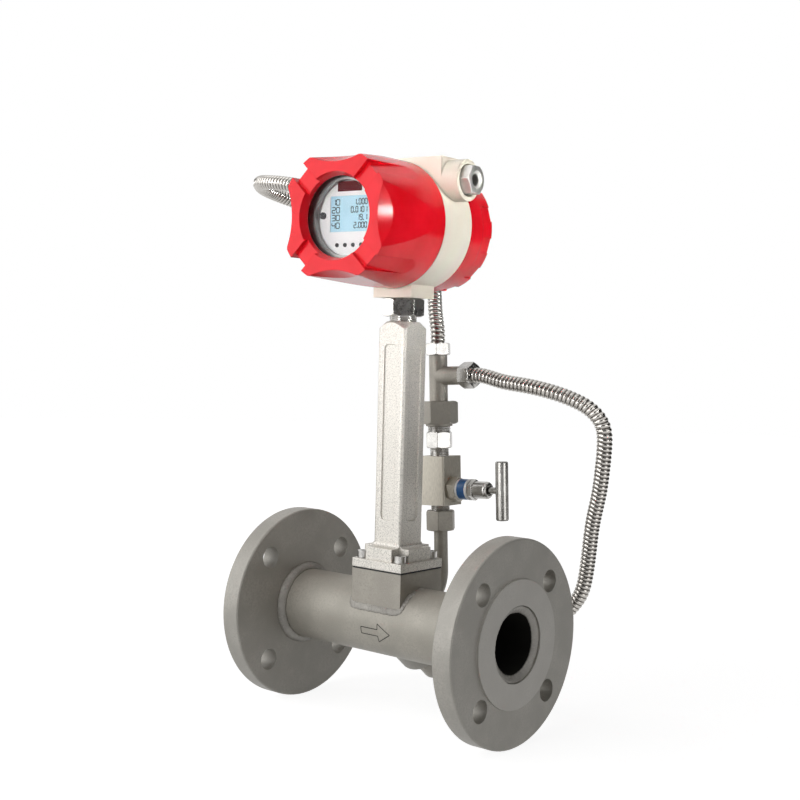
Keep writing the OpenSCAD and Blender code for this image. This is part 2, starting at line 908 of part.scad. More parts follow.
module rear_seal() {
    color("#202020")
        head_frame()
            translate([0, 0, -ring_back - 1.5])
                cover_seal();
}

// Covers

// Half space beyond a side flat, which slopes from flat_r at the front to ring_r at its end
module side_flat() {
    slope = atan((ring_r - flat_r) / (front_reach - flat_end));
    reach = 2 * front_reach;
    translate([flat_r, -ring_r, front_reach])
        rotate([0, -slope, 0])
            translate([0, 0, -reach])
                cube([ring_r, 2 * ring_r, reach + 2 * petal_h]);
}

// Notch between two petals: a step in the front face that runs on as a fading side groove
module petal_notch() {
    fall = (ring_r - notch_r) / (front_reach - notch_end);
    outer = ring_r + petal_h;
    rotate([90, 0, 0])
        linear_extrude(notch_w, center = true)
            polygon([
                [window_r / 2, front_reach - petal_h],
                [notch_r + petal_h * fall, front_reach - petal_h],
                [outer, front_reach - (outer - notch_r) / fall],
                [outer, front_reach + over],
                [window_r / 2, front_reach + over]
            ]);
}

module front_cover() {
    rear = ring_front + rim_gap;
    thread_end = ring_front + spigot_l + 1;
    scoop_slope = atan((flat_r - scoop_depth_r) / scoop_l + (ring_r - flat_r) / (front_reach - flat_end));
    color("#c4121e")
        head_frame()
            difference() {
                rotate(22.5)
                    rotate_extrude()
                        polygon([
                            [cover_inner_r, rear], [ring_r, rear], [ring_r, front_reach],
                            [window_front_r, front_reach], [window_r, front_reach - bevel_depth],
                            [window_r, lip_plane], [glass_pocket_r, lip_plane],
                            [glass_pocket_r, pocket_back], [cover_wall_r, pocket_back],
                            [cover_wall_r, thread_end], [cover_inner_r, thread_end]
                        ]);
                for (a = [45:90:315])
                    rotate(a)
                        petal_notch();
                for (a = [0:90:270])
                    rotate(a) {
                        side_flat();
                        translate([scoop_depth_r + scoop_r / cos(scoop_slope), 0, front_reach])
                            rotate([0, -scoop_slope, 0])
                                cylinder(r = scoop_r, h = front_reach, center = true);
                    }
            }
}

module window_glass() {
    color("#bcd4dc", 0.35)
        head_frame()
            translate([0, 0, glass_back])
                cylinder(r = glass_r, h = glass_t);
}

module window_seal() {
    color("#202020")
        head_frame()
            translate([0, 0, glass_front + seat_gap])
                ring(glass_r, window_r + 0.5, 0.9 - 2 * seat_gap);
}

module window_ring() {
    color("#8c8c8a")
        head_frame()
            translate([0, 0, glass_back - ring_depth - seat_gap])
                ring(glass_r, window_r - 2, ring_depth);
}

module rear_cover() {
    front = ring_back + rim_gap;
    thread_end = ring_back + spigot_l + 1;
    floor_at = rear_reach - 5;
    color("#c4121e")
        head_frame()
            mirror([0, 0, 1])
                difference() {
                    rotate_extrude()
                        polygon([
                            [cover_inner_r, front], [ring_r, front],
                            [ring_r, rear_reach - rim_l - 2], [rim_r, rear_reach - rim_l],
                            [rim_r, rear_reach - 1], [rim_r - 1, rear_reach],
                            [cavity_r, rear_reach], [cavity_r - 1, rear_reach - 1.5],
                            [0, rear_reach - 1.5], [0, floor_at], [cover_wall_r, floor_at],
                            [cover_wall_r, thread_end], [cover_inner_r, thread_end]
                        ]);
                    for (i = [0:rim_notches - 1])
                        rotate((i + 0.5) * 360 / rim_notches)
                            translate([rim_r - rim_notch_depth, -rim_notch_w / 2, rear_reach - rim_l + 3])
                                cube([rim_notch_depth + over, rim_notch_w, rim_l]);
                }
}

// Display and boards

module display_panel() {
    color("#d9dbd8")
        head_frame()
            translate([0, 0, panel_face - display_t])
                difference() {
                    cylinder(r = display_r, h = display_t);
                    translate([-lcd_w / 2, lcd_rise - lcd_h / 2, -over])
                        cube([lcd_w, lcd_h, display_t + 2 * over]);
                    for (x = key_xs)
                        translate([x, -key_drop, -over])
                            cylinder(d = key_d + 2 * key_gap, h = display_t + 2 * over);
                    for (x = [-1, 1])
                        translate([x * display_screw_x, lcd_rise - 1, -over])
                            cylinder(d = 3 + 2 * slip_gap, h = display_t + 2 * over);
                }
}

module lcd() {
    color("#a9cfe3")
        head_frame()
            translate([-lcd_w / 2 + seat_gap, lcd_rise - lcd_h / 2 + seat_gap, panel_face - display_t - 1])
                cube([lcd_w - 2 * seat_gap, lcd_h - 2 * seat_gap, display_t + 0.6]);
}

// Bare plate above the display
module name_plate() {
    color("#6b0f1a")
        head_frame()
            translate([-plate_w / 2, plate_base, panel_face + seat_gap / 2])
                cube([plate_w, plate_top - plate_base, 0.4]);
}

// One key: a cap through the panel with a collar that keeps it in
module display_key(i) {
    collar_t = board_gap - 2 * seat_gap - key_travel;
    color("#2b2b2d")
        head_frame()
            translate([key_xs[i], -key_drop, panel_face]) {
                translate([0, 0, -display_t - collar_t])
                    cylinder(d = key_d, h = display_t + collar_t + key_proud);
                translate([0, 0, -display_t - seat_gap - collar_t])
                    cylinder(d = key_d + 1.6, h = collar_t);
            }
}

module key_1() display_key(0);
module key_2() display_key(1);
module key_3() display_key(2);
module key_4() display_key(3);

module display_screws() {
    color("#3a3a3c")
        head_frame()
            for (x = [-1, 1])
                translate([x * display_screw_x, lcd_rise - 1, panel_face + seat_gap])
                    difference() {
                        union() {
                            cylinder(d = 5.4, h = 1.6);
                            translate([0, 0, -display_t - 1.8])
                                cylinder(d = 3, h = display_t + 2);
                        }
                        translate([-3, -0.4, 0.8])
                            cube([6, 0.8, 2]);
                    }
}

module display_board() {
    color("#1f6b3a")
        head_frame()
            translate([0, 0, board_face - board_t])
                difference() {
                    cylinder(r = display_r, h = board_t);
                    for (a = [45:90:315])
                        rotate(a)
                            translate([post_ring_r, 0, -over])
                                cylinder(d = post_d / 2, h = 2 * board_t);
                }
}

// Posts from the partition through the main board to the display
module board_posts() {
    color("#c9a94f")
        head_frame()
            for (a = [45:90:315])
                rotate(a)
                    translate([post_ring_r, 0, partition_front]) {
                        translate([0, 0, seat_gap])
                            cylinder(d = post_d, h = board_face - board_t - partition_front - 2 * seat_gap);
                        cylinder(d = post_d / 2 - 0.4, h = panel_face - display_t - partition_front - seat_gap);
                    }
}

module main_board() {
    color("#1f6b3a")
        head_frame()
            translate([0, 0, main_board_z])
                difference() {
                    union() {
                        cylinder(r = cavity_r - 3, h = board_t);
                        translate([-3 * chip, -2 * chip, board_t / 2])
                            cube([4 * chip, 4 * chip, chip]);
                        translate([2 * chip, chip, board_t / 2])
                            cube([2.2 * chip, 3 * chip, 1.7 * chip]);
                        translate([1.5 * chip, -4 * chip, board_t / 2])
                            cylinder(d = 2 * chip, h = 3 * chip);
                    }
                    for (a = [45:90:315])
                        rotate(a)
                            translate([post_ring_r, 0, -over])
                                cylinder(d = post_d + 2 * seat_gap, h = 2 * board_t);
                }
}

module terminal_board() {
    color("#2c5f8a")
        head_frame()
            translate([0, 0, partition_back - terminal_gap])
                difference() {
                    union() {
                        cylinder(r = cavity_r - 3, h = board_t);
                        for (a = [0:120:240])
                            rotate(a + 90)
                                translate([cavity_r - terminal_gap, 0, board_t / 2])
                                    cylinder(d = post_d, h = terminal_gap - board_t / 2 - seat_gap);
                    }
                    translate([0, -7 * chip, -over])
                        cylinder(d = 2.5 * chip, h = board_t + 2 * over);
                }
}

// Six-way screw terminal block in the rear compartment
module terminal_block() {
    ways = 6;
    w = 11 * chip;
    pitch = w / ways;
    h = 2 * pitch;
    depth = 2.4 * pitch;
    color("#3b8f4a")
        head_frame()
            translate([-w / 2, -depth / 2, partition_back - terminal_gap - seat_gap - h])
                difference() {
                    cube([w, depth, h]);
                    for (i = [0:ways - 1])
                        translate([(i + 0.5) * pitch, 0, 0]) {
                            translate([0, depth * 0.6, -over])
                                cylinder(d = pitch * 2 / 3, h = pitch + over);
                            translate([-pitch / 3, -over, pitch * 2 / 3])
                                cube([pitch * 2 / 3, depth * 0.45, pitch * 2 / 3]);
                        }
                }
}

// Cable gland in the right boss

module gland_body() {
    color("#cfcdc8")
        boss_frame(1)
            translate([0, 0, boss_reach])
                difference() {
                    union() {
                        translate([0, 0, -shank_l])
                            cylinder(d = conduit_d, h = shank_l + seat_gap);
                        translate([0, 0, seat_gap])
                            cylinder(d = gland_collar_d, h = gland_collar_t - 2 * seat_gap);
                    }
                    translate([0, 0, -shank_l - over])
                        cylinder(d = seal_d + 2 * seat_gap, h = shank_l + gland_collar_t + 2 * over);
                }
}

module gland_nut() {
    color("#d4d2cd")
        boss_frame(1)
            translate([0, 0, boss_reach + gland_collar_t])
                difference() {
                    hex_nut(gland_af, gland_nut_h, cable_bore + 2.6);
                    translate([0, 0, gland_nut_h - gland_collar_t])
                        cylinder(d1 = cable_bore, d2 = 2 * cable_bore, h = gland_collar_t + 0.01);
                }
}

module gland_seal() {
    seal_l = shank_l - 1;
    color("#1a1a1a")
        boss_frame(1)
            translate([0, 0, boss_reach - seal_l])
                ring(seal_d / 2, cable_bore / 2, seal_l + gland_collar_t - seat_gap);
}

// Hose adapter in the left boss

module conduit_adapter() {
    color("#c4c1bb")
        boss_frame(-1)
            translate([0, 0, boss_reach])
                difference() {
                    union() {
                        translate([0, 0, -shank_l])
                            cylinder(d = conduit_d, h = shank_l + seat_gap);
                        translate([0, 0, seat_gap])
                            hexagon(adapter_af, adapter_hex_h - seat_gap);
                    }
                    translate([0, 0, -shank_l - over])
                        cylinder(d = hose_bore + 1, h = shank_l + adapter_hex_h + 2 * over);
                }
}

module conduit_nut() {
    color("#c4c1bb")
        boss_frame(-1)
            translate([0, 0, boss_reach + adapter_hex_h + seat_gap])
                hex_nut(hose_nut_af, conduit_nut_l - 2 * seat_gap, hose_bore);
}

// Hoses

module head_hose() {
    color("#b8b6b2")
        swept_tube(head_hose_route, hose_od, hose_sides);
}

module sensor_hose() {
    color("#b8b6b2")
        swept_tube(sensor_hose_route, hose_od, hose_sides);
}

// Pressure sensor and tee

module tee_nut() {
    color("#cfccc6")
        column_frame()
            translate([0, 0, tee_top + seat_gap])
                hex_nut(hose_nut_af, hose_nut_h - 2 * seat_gap, hose_bore);
}

module pressure_tee() {
    bore = tee_d - 4;
    color("#77736c")
        column_frame()
            difference() {
                union() {
                    translate([0, 0, tee_z + seat_gap])
                        cylinder(d = tee_d, h = tee_h - seat_gap);
                    translate([0, 0, branch_z])
                        x_cylinder(tee_d, 0, branch_reach);
                }
                translate([0, 0, tee_z + 6])
                    cylinder(d = bore, h = tee_h);
                translate([0, 0, branch_z])
                    x_cylinder(bore, 0, branch_reach + over);
            }
}

module branch_nut() {
    color("#cfccc6")
        column_frame()
            translate([branch_reach + seat_gap, 0, branch_z])
                rotate([0, 90, 0])
                    hex_nut(hose_nut_af, branch_nut_h - 2 * seat_gap, hose_bore);
}

module pressure_sensor() {
    color("#6f6b65")
        column_frame()
            difference() {
                union() {
                    translate([0, 0, sensor_hex_z])
                        rotate(sensor_turn)
                            hexagon(sensor_af, sensor_hex_h);
                    translate([0, 0, sensor_hex_z - washer_t])
                        cylinder(d = thread_d + 2 * washer_t, h = washer_t);
                    translate([0, 0, top_nut_top + seat_gap])
                        cylinder(d = thread_d, h = collar_h);
                    translate([0, 0, top_nut_top - 6.6])
                        cylinder(d = sensor_spigot_d, h = 7);
                }
                translate([0, 0, top_nut_top - 7])
                    cylinder(d = 5, h = collar_h + 12);
            }
}

// Needle valve

module valve_top_nut() {
    color("#d2cfc9")
        column_frame()
            translate([0, 0, top_nut_z])
                difference() {
                    hexagon(top_nut_af, top_nut_h);
                    translate([0, 0, -over])
                        cylinder(d = valve_end_d + 2 * seat_gap, h = end_l - 6.8 + seat_gap + over);
                    cylinder(d = sensor_spigot_d + 2 * seat_gap, h = top_nut_h + over);
                }
}

module valve_body() {
    edge = 1.2;
    color("#77736c")
        column_frame()
            difference() {
                union() {
                    translate([0, 0, valve_z])
                        linear_extrude(valve_h)
                            round_rectangle(valve_l, valve_w, edge);
                    translate([0, 0, valve_top])
                        cylinder(d = valve_end_d, h = end_l);
                    translate([0, 0, valve_z - end_l])
                        cylinder(d = valve_end_d, h = end_l);
                }
                translate([0, 0, valve_z - end_l - over])
                    cylinder(d = port_d, h = end_l + over + stem_rise / 2);
                translate([-riser_d, 0, valve_z + stem_rise / 4])
                    cylinder(d = riser_d, h = stem_rise * 3 / 4);
                translate([seat_x + riser_d / 2, 0, stem_z])
                    cylinder(d = riser_d, h = valve_h / 2);
                translate([0, 0, stem_z + valve_h / 3])
                    cylinder(d = port_d, h = valve_h + end_l);
                translate([0, 0, stem_z]) {
                    x_cylinder(1.5 * needle_r, -riser_d, seat_x + over);
                    x_cylinder(stem_d + 1, seat_x, valve_l);
                    x_cylinder(barrel_d + 2 * seat_gap, chamber_end, valve_l);
                    x_cylinder(bonnet_af / cos(30) + 2 * spot_depth, valve_l / 2 - spot_depth, valve_l);
                }
            }
}

module valve_bonnet() {
    shank_x = chamber_end + seat_gap;
    color("#c9c6c0")
        stem_frame()
            difference() {
                union() {
                    translate([0, 0, shank_x])
                        cylinder(d = barrel_d, h = packing_x + packing_l / 2 - shank_x);
                    translate([0, 0, bonnet_x])
                        rotate(bonnet_turn)
                            hexagon(bonnet_af, bonnet_hex_l);
                }
                cylinder(d = stem_d + 2 * run_gap, h = handle_x);
            }
}

module bonnet_band() {
    color("#1e5fa8")
        stem_frame()
            translate([0, 0, band_x])
                ring(barrel_d / 2 + 2.5, barrel_d / 2 + seat_gap, band_l);
}

module lock_ring() {
    color("#c9c6c0")
        stem_frame()
            translate([0, 0, lock_ring_x])
                hex_nut(barrel_d + 3, lock_ring_l, barrel_d + 2 * seat_gap);
}

// Round-nosed nut that presses the stem packing, recessed round the stem
module packing_nut() {
    outer = barrel_d / 2 + 1;
    nose = packing_l / 5;
    color("#cfccc6")
        stem_frame()
            translate([0, 0, packing_x])
                difference() {
                    rotate_extrude() {
                        square([outer, packing_l - nose]);
                        translate([0, packing_l - nose])
                            square([outer - nose, nose]);
                        translate([outer - nose, packing_l - nose])
                            intersection() {
                                circle(r = nose);
                                square(nose);
                            }
                    }
                    translate([0, 0, -over])
                        cylinder(d = barrel_d + 2 * seat_gap, h = packing_l / 2 + seat_gap + over);
                    cylinder(d = stem_d + 2 * run_gap, h = packing_l + over);
                    translate([0, 0, packing_l - nose])
                        cylinder(d = 1.5 * stem_d, h = nose + over);
                }
}

// Needle that slides without turning at the end of the stem
module needle_tip() {
    color("#b0aca5")
        stem_frame()
            translate([0, 0, needle_x])
                rotate_extrude()
                    polygon([[0, 0], [needle_r / 4, 0], [needle_r, 3.2], [needle_r, needle_l], [0, needle_l]]);
}

module valve_stem() {
    low = needle_x + needle_l + seat_gap;
    color("#d8d5cf")
        stem_frame()
            translate([0, 0, low])
                cylinder(d = stem_d, h = handle_x + handle_d / 4 - low);
}

module t_handle() {
    crown = 1;
    r = handle_d / 2;
    color("#c6c2bb")
        stem_frame()
            difference() {
                translate([handle_l / 2, 0, handle_x])
                    rotate([0, -90, 0])
                        rotate_extrude()
                            polygon([
                                [0, 0], [r - crown, 0], [r, crown],
                                [r, handle_l - crown], [r - crown, handle_l], [0, handle_l]
                            ]);
                cylinder(d = stem_d + 2 * run_gap, h = handle_x + handle_d / 4 + run_gap);
            }
}

// Tap tube

module tap_nut() {
    color("#706c66")
        column_frame()
            translate([0, 0, tap_nut_z])
                difference() {
                    hexagon(tap_nut_af, tap_nut_h);
                    translate([0, 0, -over])
                        cylinder(d = tap_od + 2 * seat_gap, h = tap_nut_h + 2 * over);
                    translate([0, 0, valve_z - end_l - seat_gap - tap_nut_z])
                        cylinder(d = valve_end_d + 2 * seat_gap, h = tap_nut_h);
                }
}

// Path of the tap tube: out of the meter tube, round the bend and up
module tap_path(d, extra) {
    leg = tap_y - tap_bend;
    start = tube_bore / 2 + 0.5 - extra;
    bend_z = tap_rise + tap_bend;
    leg_frame()
        translate([0, 0, start])
            cylinder(d = d, h = leg - start);
    tap_frame()
        translate([0, leg, bend_z])
            rotate([0, 90, 0])
                rotate_extrude(angle = 90)
                    translate([tap_bend, 0])
                        circle(d = d);
    column_frame()
        translate([0, 0, bend_z])
            cylinder(d = d, h = valve_z - end_l - seat_gap - bend_z + extra);
}

module tap_tube() {
    color("#807b74")
        difference() {
            tap_path(tap_od, 0);
            tap_path(tap_bore, over);
        }
}

// Temperature sensor

module well_boss() {
    color("#5d5953")
        difference() {
            well_frame()
                difference() {
                    translate([0, 0, tube_bore / 4])
                        cylinder(d = well_boss_d, h = well_face - tube_bore / 4);
                    cylinder(d = well_thread_d + 2 * seat_gap, h = well_face + over);
                }
            x_cylinder(tube_od + 2 * seat_gap, 0, face_to_face);
        }
}

module temperature_sensor() {
    thread_l = 13;
    stem_tip = 0.36 * tube_bore;
    color("#8b8780")
        well_frame()
            difference() {
                union() {
                    translate([0, 0, stem_tip])
                        cylinder(d = well_stem_d, h = well_face - stem_tip);
                    translate([0, 0, well_face - thread_l])
                        cylinder(d = well_thread_d, h = thread_l + seat_gap);
                    translate([0, 0, well_face + seat_gap])
                        hexagon(well_af, well_head_at - well_face);
                    translate([0, 0, well_head_at])
                        rotate_extrude()
                            polygon([
                                [0, 0], [well_head_d / 2, 0],
                                [well_head_d / 2, well_head_h - 2],
                                [well_head_d / 2 - 2, well_head_h], [0, well_head_h]
                            ]);
                    translate([0, 0, well_outlet_at])
                        x_cylinder(outlet_d, 0, outlet_reach);
                }
                translate([0, 0, well_outlet_at])
                    x_cylinder(hose_bore, well_head_d / 6, outlet_reach + over);
            }
}

module well_hose_nut() {
    color("#bdb9b2")
        well_frame()
            translate([outlet_reach + seat_gap, 0, well_outlet_at])
                rotate([0, 90, 0])
                    hex_nut(hose_nut_af, branch_nut_h - 2 * seat_gap, hose_bore);
}

inlet_flange();
outlet_flange();
meter_tube();
weld_beads();
sensor_pad();
shedder_bar();
vortex_probe();
neck_gasket();
neck();
neck_screws();
neck_nipple();
lock_nut();
head_housing();
front_cover();
window_glass();
window_seal();
window_ring();
front_seal();
rear_cover();
rear_seal();
display_panel();
lcd();
name_plate();
key_1();
key_2();
key_3();
key_4();
display_screws();
display_board();
board_posts();
main_board();
terminal_board();
terminal_block();
gland_body();
gland_nut();
gland_seal();
conduit_adapter();
conduit_nut();
head_hose();
sensor_hose();
tee_nut();
pressure_tee();
branch_nut();
pressure_sensor();
valve_top_nut();
valve_body();
valve_bonnet();
bonnet_band();
lock_ring();
packing_nut();
needle_tip();
valve_stem();
t_handle();
tap_nut();
tap_tube();
well_boss();
temperature_sensor();
well_hose_nut();
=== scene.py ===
# %% [markdown]
# # Dressing a vortex flow meter
# The solids of the meter come in as a fixed frame, in metres, with the centre of the inlet's raised face
# at the origin, the flow along +X and the head up +Z. Nothing here moves them. This lesson gives each one
# its finish, rounds the edges that a solid leaves sharp, and replaces the few pieces whose look is all in
# their surface, such as the corrugated hoses and the weld beads.

# %% Load the solids
import json
import math
import bmesh
import bpy
import numpy as np
from mathutils import Matrix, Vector
from mathutils.bvhtree import BVHTree

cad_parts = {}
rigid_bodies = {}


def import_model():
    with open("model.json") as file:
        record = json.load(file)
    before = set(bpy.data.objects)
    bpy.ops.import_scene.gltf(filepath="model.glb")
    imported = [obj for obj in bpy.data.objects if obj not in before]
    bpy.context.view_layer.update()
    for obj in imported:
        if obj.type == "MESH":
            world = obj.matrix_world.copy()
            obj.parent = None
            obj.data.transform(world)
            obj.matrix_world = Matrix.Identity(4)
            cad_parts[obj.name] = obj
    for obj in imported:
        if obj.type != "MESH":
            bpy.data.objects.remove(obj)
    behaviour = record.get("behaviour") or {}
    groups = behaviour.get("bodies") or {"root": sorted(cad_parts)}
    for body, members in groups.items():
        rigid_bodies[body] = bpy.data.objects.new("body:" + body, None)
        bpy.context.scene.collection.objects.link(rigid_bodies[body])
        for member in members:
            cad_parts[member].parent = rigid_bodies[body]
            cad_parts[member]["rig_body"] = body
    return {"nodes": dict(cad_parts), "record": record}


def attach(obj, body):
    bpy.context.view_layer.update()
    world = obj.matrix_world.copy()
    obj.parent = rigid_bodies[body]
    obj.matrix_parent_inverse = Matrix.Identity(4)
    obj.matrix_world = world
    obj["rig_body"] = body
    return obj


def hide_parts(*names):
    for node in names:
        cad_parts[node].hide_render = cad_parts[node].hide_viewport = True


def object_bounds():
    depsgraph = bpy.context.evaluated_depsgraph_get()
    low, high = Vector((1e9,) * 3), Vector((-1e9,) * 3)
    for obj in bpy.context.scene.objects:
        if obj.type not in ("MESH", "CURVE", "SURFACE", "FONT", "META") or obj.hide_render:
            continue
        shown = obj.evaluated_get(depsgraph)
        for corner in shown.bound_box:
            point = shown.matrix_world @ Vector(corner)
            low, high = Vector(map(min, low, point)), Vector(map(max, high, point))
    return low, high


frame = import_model()
nodes = frame["nodes"]
cad_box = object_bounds()
slot_of = {s["node"]: s["material_slot"] for s in frame["record"]["subparts"]}
MM = 0.001
RUN, TUBE_R = 250.0, 30.0  # length over the raised faces and outside radius of the tube, in mm
NECK_X, TAP_Y, HEAD_Z = 125.0, 62.0, 327.5  # the neck's axis, the tap column's and the head's, in mm
print(len(nodes), "solids, box in mm", [[round(x / MM, 1) for x in corner] for corner in cad_box])

# %% [markdown]
# ## The camera
# The viewpoint was found by matching known sizes, the flanges and the head, with where they appear. A
# camera is a matrix: its columns are the picture's right, the picture's up, the way back to the viewer,
# and the place.

# %% Camera
turn, lift, roll = np.radians([40.307, 2.499, 1.412])
back = np.array([np.sin(turn) * np.cos(lift), -np.cos(turn) * np.cos(lift), np.sin(lift)])
level = np.array([np.cos(turn), np.sin(turn), 0.0])
upright = np.cross(back, level)
eye = np.eye(4)
eye[:3, 0] = np.cos(roll) * level + np.sin(roll) * upright
eye[:3, 1] = -np.sin(roll) * level + np.cos(roll) * upright
eye[:3, 2] = back
eye[:3, 3] = np.array([828.4, -830.7, 231.6]) * MM
camera = bpy.data.objects.new("camera", bpy.data.cameras.new("camera"))
camera.data.sensor_width, camera.data.lens = 36.0, 59.04
camera.matrix_world = Matrix(eye.tolist())
bpy.context.scene.collection.objects.link(camera)
bpy.context.scene.camera = camera
print("camera at", np.round(eye[:3, 3], 3))

# %% [markdown]
# ## Putting a surface into a mesh
# Every new piece is a grid of points: rows along the piece, columns around it. The faces between
# neighbouring points are the same for all of them, so one function makes the mesh. Columns always close
# on themselves. Rows either close too, as on a ring, or end in two caps, as on a rod.

# %% Surface to mesh
def put_mesh(name, points, faces, body, slot, finish=None, smooth=True):
    """A mesh from points (n, 3) in metres and lists of corners, with its faces turned outwards."""
    mesh = bpy.data.meshes.new(name)
    mesh.from_pydata(np.asarray(points).reshape(-1, 3).tolist(), [], faces)
    work = bmesh.new()
    work.from_mesh(mesh)
    bmesh.ops.recalc_face_normals(work, faces=work.faces)
    work.to_mesh(mesh)
    work.free()
    mesh.polygons.foreach_set("use_smooth", np.full(len(mesh.polygons), smooth))
    obj = bpy.data.objects.new(name, mesh)
    bpy.context.scene.collection.objects.link(obj)
    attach(obj, body)
    if finish:
        mesh.materials.append(finish)
    return obj


def put_surface(name, points, body, slot, ring=False, **more):
    """points[i, j] is row i, column j. A face joins (i, j), (i, j+1), (i+1, j+1), (i+1, j)."""
    rows, cols = points.shape[:2]
    i = np.arange(rows if ring else rows - 1)[:, None]
    j = np.arange(cols)[None, :]
    after, beside = (i + 1) % rows, (j + 1) % cols
    quads = np.stack([i * cols + j, i * cols + beside, after * cols + beside, after * cols + j], -1)
    faces = quads.reshape(-1, 4).tolist()
    if not ring:
        faces += [list(range(cols)), list(range((rows - 1) * cols, rows * cols))]
    return put_mesh(name, points, faces, body, slot, **more)


# %% [markdown]
# ## The two corrugated hoses
# Each hose is a steel strip wound into a ribbed tube. It leaves its fitting straight and then bends
# stiffly. The route is a spline through the same points as the solid's. The ribs are one helix: the
# radius falls and rises with the length run plus the angle round the tube, so the whole hose is one grid
# of points.

# %% Route of a hose
def smooth_route(points, first, last, step):
    """Clamped cubic spline by chord length: the slopes at inner points solve one set of equations that keeps
    the bending continuous, the end slopes are given, and the curve is then cut into even steps."""
    chord = np.r_[0, np.cumsum(np.linalg.norm(np.diff(points, axis=0), axis=1))]
    h, n = np.diff(chord), len(points)
    pitch = np.diff(points, axis=0) / h[:, None]
    left, right = np.eye(n), np.zeros((n, 3))
    right[0], right[-1] = first, last
    i = np.arange(1, n - 1)
    left[i, i - 1], left[i, i], left[i, i + 1] = h[1:], 2 * (h[:-1] + h[1:]), h[:-1]
    right[i] = 3 * (h[1:, None] * pitch[:-1] + h[:-1, None] * pitch[1:])
    slope = np.linalg.solve(left, right)
    fine = np.linspace(0, chord[-1], 6000)
    k = np.clip(np.searchsorted(chord, fine, side="right") - 1, 0, n - 2)
    t, span = ((fine - chord[k]) / h[k])[:, None], h[k][:, None]
    curve = ((2 * t**3 - 3 * t**2 + 1) * points[k] + (t**3 - 2 * t**2 + t) * span * slope[k]
             + (3 * t**2 - 2 * t**3) * points[k + 1] + (t**3 - t**2) * span * slope[k + 1])
    run = np.r_[0, np.cumsum(np.linalg.norm(np.diff(curve, axis=0), axis=1))]
    even = np.linspace(0, run[-1], int(run[-1] / step) + 1)
    return np.stack([np.interp(even, run, curve[:, a]) for a in range(3)], 1), even


def cross_frame(path, lean):
    """Two directions square to the path at each point, from a fixed one that the path never follows."""
    along = np.gradient(path, axis=0)
    along /= np.linalg.norm(along, axis=1)[:, None]
    side = lean - (along @ lean)[:, None] * along
    side /= np.linalg.norm(side, axis=1)[:, None]
    return side, np.cross(along, side)


# %% Ribbed surface of a hose
def ribbed_hose(name, route, first, last, lean):
    """radius = hose_r - rib * (1 - crest), crest = (half + half cos phase) to the power 0.6, and
    phase = 2 pi run / rib_pitch + angle, so that the ribs wind round the hose."""
    hose_r, rib, rib_pitch = 6.5 * MM, 1.0 * MM, 3.75 * MM
    path, run = smooth_route(np.array(route) * MM, np.array(first), np.array(last), 0.42 * MM)
    side, other = cross_frame(path, np.array(lean))
    angle = np.linspace(0, 2 * np.pi, 26, endpoint=False)[None, :]
    crest = (0.5 + 0.5 * np.cos(2 * np.pi * run[:, None] / rib_pitch + angle)) ** 0.6
    radius = (hose_r - rib * (1 - crest))[..., None]
    points = (path[:, None, :] + radius * np.cos(angle)[..., None] * side[:, None, :]
              + radius * np.sin(angle)[..., None] * other[:, None, :])
    hose = put_surface(name + "_ribs", points, "root", "hose_steel")
    shade = hose.data.attributes.new("crest", "FLOAT", "POINT")
    shade.data.foreach_set("value", crest.ravel().astype(np.float32))
    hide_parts(name)
    print(name, "runs", round(run[-1] / MM, 1), "mm,", len(run), "rows")
    return hose


# %% Head hose and sensor hose
head_turn, lean_back = math.radians(5.4), math.radians(3)
head_hose = ribbed_hose(
    "head_hose",
    [[46.4, -7.4, 362.5], [33, -8.7, 362.8], [11, -10.5, 366.3], [-12, -11, 370], [-33.5, -7.5, 372.5],
     [-52.4, 3, 373.9], [-67.3, 21, 372.3], [-74, 44, 369.1], [-68, 67, 363.3], [-51, 84, 356.4],
     [-27, 93.5, 349], [-1, 97, 339.5], [24, 97, 328.5], [46.5, 93.5, 315.5], [67, 88.5, 303],
     [85.5, 82, 290.5], [99.5, 72, 275], [107.4, 64.5, 257.5], [112.4, 62, 240.3], [112.8, 62, 232.3]],
    (-math.cos(head_turn), -math.sin(head_turn), 0), (math.sin(lean_back), 0, -math.cos(lean_back)),
    (0.0, -0.7, 0.7))
sensor_hose = ribbed_hose(
    "sensor_hose",
    [[153.9, 62, 205.6], [161.9, 62, 205.4], [180, 62, 201.8], [203.5, 62.5, 199], [228, 65, 195],
     [249.5, 69.5, 188.6], [264.5, 74, 180], [271.7, 78, 169], [271.7, 82, 155.5], [267.2, 87.5, 134],
     [260.5, 94, 111], [252, 100, 87], [246, 105.5, 64], [240.5, 110.5, 42], [234.3, 113, 23.1],
     [224.3, 113.2, 9.1], [215.5, 109.5, -2], [209, 101.5, -15], [204.5, 90, -26], [200.5, 77.5, -34.5],
     [193.5, 64.5, -40.5], [183.5, 54.8, -42.6], [171.5, 50.6, -42.4], [163, 50.6, -42.4]],
    (math.cos(lean_back), 0, math.sin(lean_back)), (-1, 0, 0), (0.05, 0.7, -0.7))

# %% [markdown]
# ## Writing shader maths
# A finish is a small network of nodes. Wrapping a socket in a class lets an expression such as
# `0.4 + 0.2 * grain` add the nodes itself, which keeps the finishes short enough to read.

